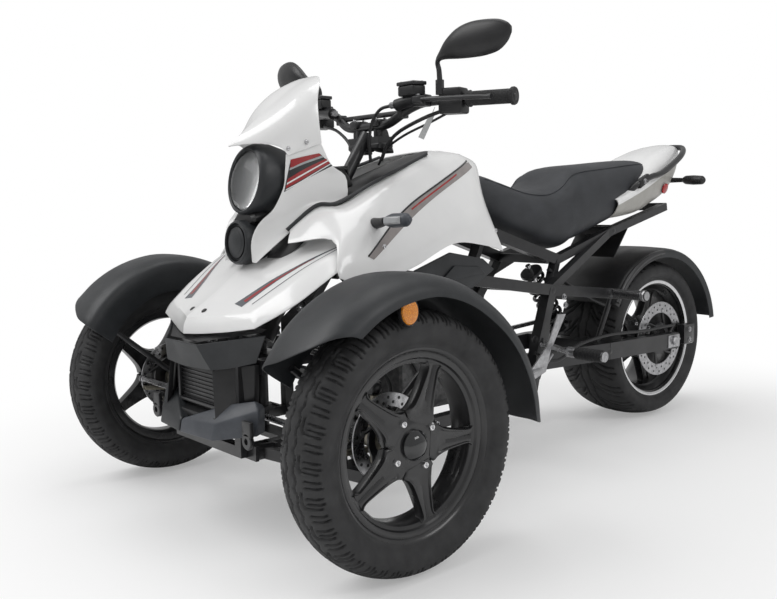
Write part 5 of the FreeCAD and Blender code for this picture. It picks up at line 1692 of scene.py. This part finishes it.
def rear_drive():
    """Axle nuts, axle adjusters with their screws, and the rear caliper with its bolts."""
    body = "chassis"
    for side, word in SIDES:
        reach = 152 if side > 0 else 160
        turned(word + "_axle_nut", [(0, 0.014), (0.011, 0.014), (0.0155, 0.011), (0.0155, 0.0)],
            rear(side * (reach + 13), 0, 258), Vector((side, 0, 0)), body, "steel", 6, 20)
        block(word + "_axle_adjuster", rear(side * (reach + 14), 2, 255), (4, 62, 40), body, "alloy", None,
            1.5)
        bar(word + "_adjuster_screw", [rear(side * reach, 30, 255), rear(side * reach, 56, 255)], 4, body,
            "steel", 1, 12)
    block("rear_caliper", rear(136, 114, 262), (34, 56, 62), body, "gloss", None, 7)
    for number, z in enumerate((246, 280)):
        cap_bolt("rear_caliper_bolt_%d" % (number + 1), rear(153, 114, z), Vector((1, 0, 0)), 0.006, body,
            "steel", 0.005)


def rear_spring():
    body = "chassis"
    foot = rear(0, -340, 284)
    head = rear(0, -520, 536)
    tube = bar("rear_damper", [mid(foot, head, 0.1), mid(foot, head, 0.55)], 19, body, "gloss", 1, 28)
    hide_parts("rear_shock")
    bar("rear_damper_rod", [mid(foot, head, 0.5), mid(foot, head, 0.95)], 8, body, "chrome", 1, 20)
    coil("rear_coil", mid(foot, head, 0.17), mid(foot, head, 0.84), 28, 5.5, 7.5, body, "gloss")
    for number, share in enumerate((0.15, 0.86)):
        turned("rear_spring_seat_%d" % (number + 1), [(0, -0.005), (0.033, -0.005), (0.034, 0),
            (0.033, 0.005), (0, 0.005)], mid(foot, head, share), (head - foot).normalized(), body, "frame",
            36)


def silencer():
    body = "chassis"
    start = front(-222, 736, 140)
    end = rear(-226, -310, 205)
    way = (end - start).normalized()
    length = (end - start).length
    can = turned("silencer_can", [(0.018, -0.004), (0.030, 0.0), (0.044, 0.010), (0.0478, 0.022),
        (0.0478, length - 0.022), (0.046, length - 0.010), (0.040, length - 0.001), (0.020, length - 0.001),
        (0.018, length - 0.04), (0, length - 0.04)], start, way, body, "frame", 64)
    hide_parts("exhaust")
    bar("exhaust_pipe", sided([(-60, 302, 320), (-60, 262, 316), (-60, 237, 290), (-60, 236, 150),
        (-72, 250, 118), (-140, 330, 108), (-196, 410, 110), (-210, 470, 115), (-222, 736, 140)]), 17, body,
        "cast", 8, 24)
    for number, share in enumerate((0.22, 0.72)):
        turned("silencer_band_%d" % (number + 1), [(0.0478, -0.008), (0.0479, -0.008), (0.0479, 0.008),
            (0.0478, 0.008)], mid(start, end, share), way, body, "steel", 64)


# ---- floor, light and camera --------------------------------------------------------------------
def stage():
    mesh = bpy.data.meshes.new("floor")
    half = 30.0
    mesh.from_pydata([(-half, -half, 0), (half, -half, 0), (half, half, 0), (-half, half, 0)], [],
        [(0, 1, 2, 3)])
    floor = bpy.data.objects.new("floor", mesh)
    bpy.context.scene.collection.objects.link(floor)
    mat, tree, bsdf = new_material("floor_paper")
    bsdf.inputs["Base Color"].default_value = (0.95, 0.95, 0.95, 1)
    bsdf.inputs["Roughness"].default_value = 0.9
    bsdf.inputs["Specular IOR Level"].default_value = 0.1
    glow = add(tree, "ShaderNodeEmission")
    glow.inputs["Color"].default_value = (1, 1, 1, 1)
    size = add(tree, "ShaderNodeVectorMath", operation="LENGTH")
    tree.links.new(coords(tree), size.inputs[0])
    far = add(tree, "ShaderNodeMapRange", interpolation_type="SMOOTHSTEP")
    far.inputs["From Min"].default_value = 0.9
    far.inputs["From Max"].default_value = 1.9
    far.inputs["To Min"].default_value = 0.3
    far.inputs["To Max"].default_value = 1.0
    tree.links.new(size.outputs["Value"], far.inputs["Value"])
    path = add(tree, "ShaderNodeLightPath")
    seen = add(tree, "ShaderNodeMath", operation="MULTIPLY")
    tree.links.new(far.outputs["Result"], seen.inputs[0])
    tree.links.new(path.outputs["Is Camera Ray"], seen.inputs[1])
    mix = add(tree, "ShaderNodeMixShader")
    tree.links.new(seen.outputs[0], mix.inputs["Fac"])
    tree.links.new(bsdf.outputs[0], mix.inputs[1])
    tree.links.new(glow.outputs[0], mix.inputs[2])
    tree.links.new(mix.outputs[0], tree.nodes["Material Output"].inputs["Surface"])
    mesh.materials.append(mat)


def world():
    scene_world = bpy.data.worlds.new("studio")
    bpy.context.scene.world = scene_world
    scene_world.use_nodes = True
    tree = scene_world.node_tree
    back = tree.nodes["Background"]
    path = add(tree, "ShaderNodeLightPath")
    seen = add(tree, "ShaderNodeMath", operation="MAXIMUM")
    tree.links.new(path.outputs["Is Camera Ray"], seen.inputs[0])
    tree.links.new(path.outputs["Is Transmission Ray"], seen.inputs[1])
    level = add(tree, "ShaderNodeMapRange")
    level.inputs["To Min"].default_value = 0.5
    level.inputs["To Max"].default_value = 1.0
    tree.links.new(seen.outputs[0], level.inputs["Value"])
    tree.links.new(level.outputs["Result"], back.inputs["Strength"])
    back.inputs["Color"].default_value = (1, 1, 1, 1)


def lamp(name, place, target, size, energy):
    light = bpy.data.lights.new(name, "AREA")
    light.shape = "RECTANGLE"
    light.size = size[0]
    light.size_y = size[1]
    light.energy = energy
    obj = bpy.data.objects.new(name, light)
    obj.location = place
    way = Vector(target) - Vector(place)
    obj.rotation_euler = way.to_track_quat("-Z", "Y").to_euler()
    bpy.context.scene.collection.objects.link(obj)


CAMERA_PLACE = (1.8195, -1.8726, 0.7316)
CAMERA_PAN = 0.8745
CAMERA_DIP = 0.1106
CAMERA_ROLL = -0.0202
CAMERA_LENS = 42.57
CAMERA_SENSOR = 36.0


def camera():
    data = bpy.data.cameras.new("camera")
    data.sensor_width = CAMERA_SENSOR
    data.lens = CAMERA_LENS
    obj = bpy.data.objects.new("camera", data)
    pan = Matrix.Rotation(CAMERA_PAN, 4, "Z")
    tilt = Matrix.Rotation(math.pi / 2 - CAMERA_DIP, 4, "X")
    roll = Matrix.Rotation(CAMERA_ROLL, 4, "Z")
    obj.matrix_world = Matrix.Translation(CAMERA_PLACE) @ (pan @ tilt @ roll)
    bpy.context.scene.collection.objects.link(obj)
    bpy.context.scene.camera = obj


LIGHTS = (
    ("key", (-1.5, -3.0, 4.0), (0, 0, 0.4), (3.0, 3.0), 84),
    ("fill", (3.6, 0.6, 3.0), (0, 0, 0.5), (2.4, 1.2), 34),
    ("top", (0, 0.3, 4.5), (0, 0, 0), (3.0, 2.0), 36),
)

STEPS = (
    finish_nodes, tyres, wheels, nose, screen_and_cheeks, lamps,
    side_panels, seat_cushion, fender_sheets, handlebar, ribbed_grips, controls,
    mirrors, bumper, discs, knuckles, front_running_gear, lower_front,
    engine_block, frame_details, tail, number_plate, rear_mudguard, rear_drive,
    rear_spring, silencer, stage, world, camera)

for build in STEPS:
    build()
for light in LIGHTS:
    lamp(*light)
bpy.context.scene.view_settings.view_transform = "Standard"
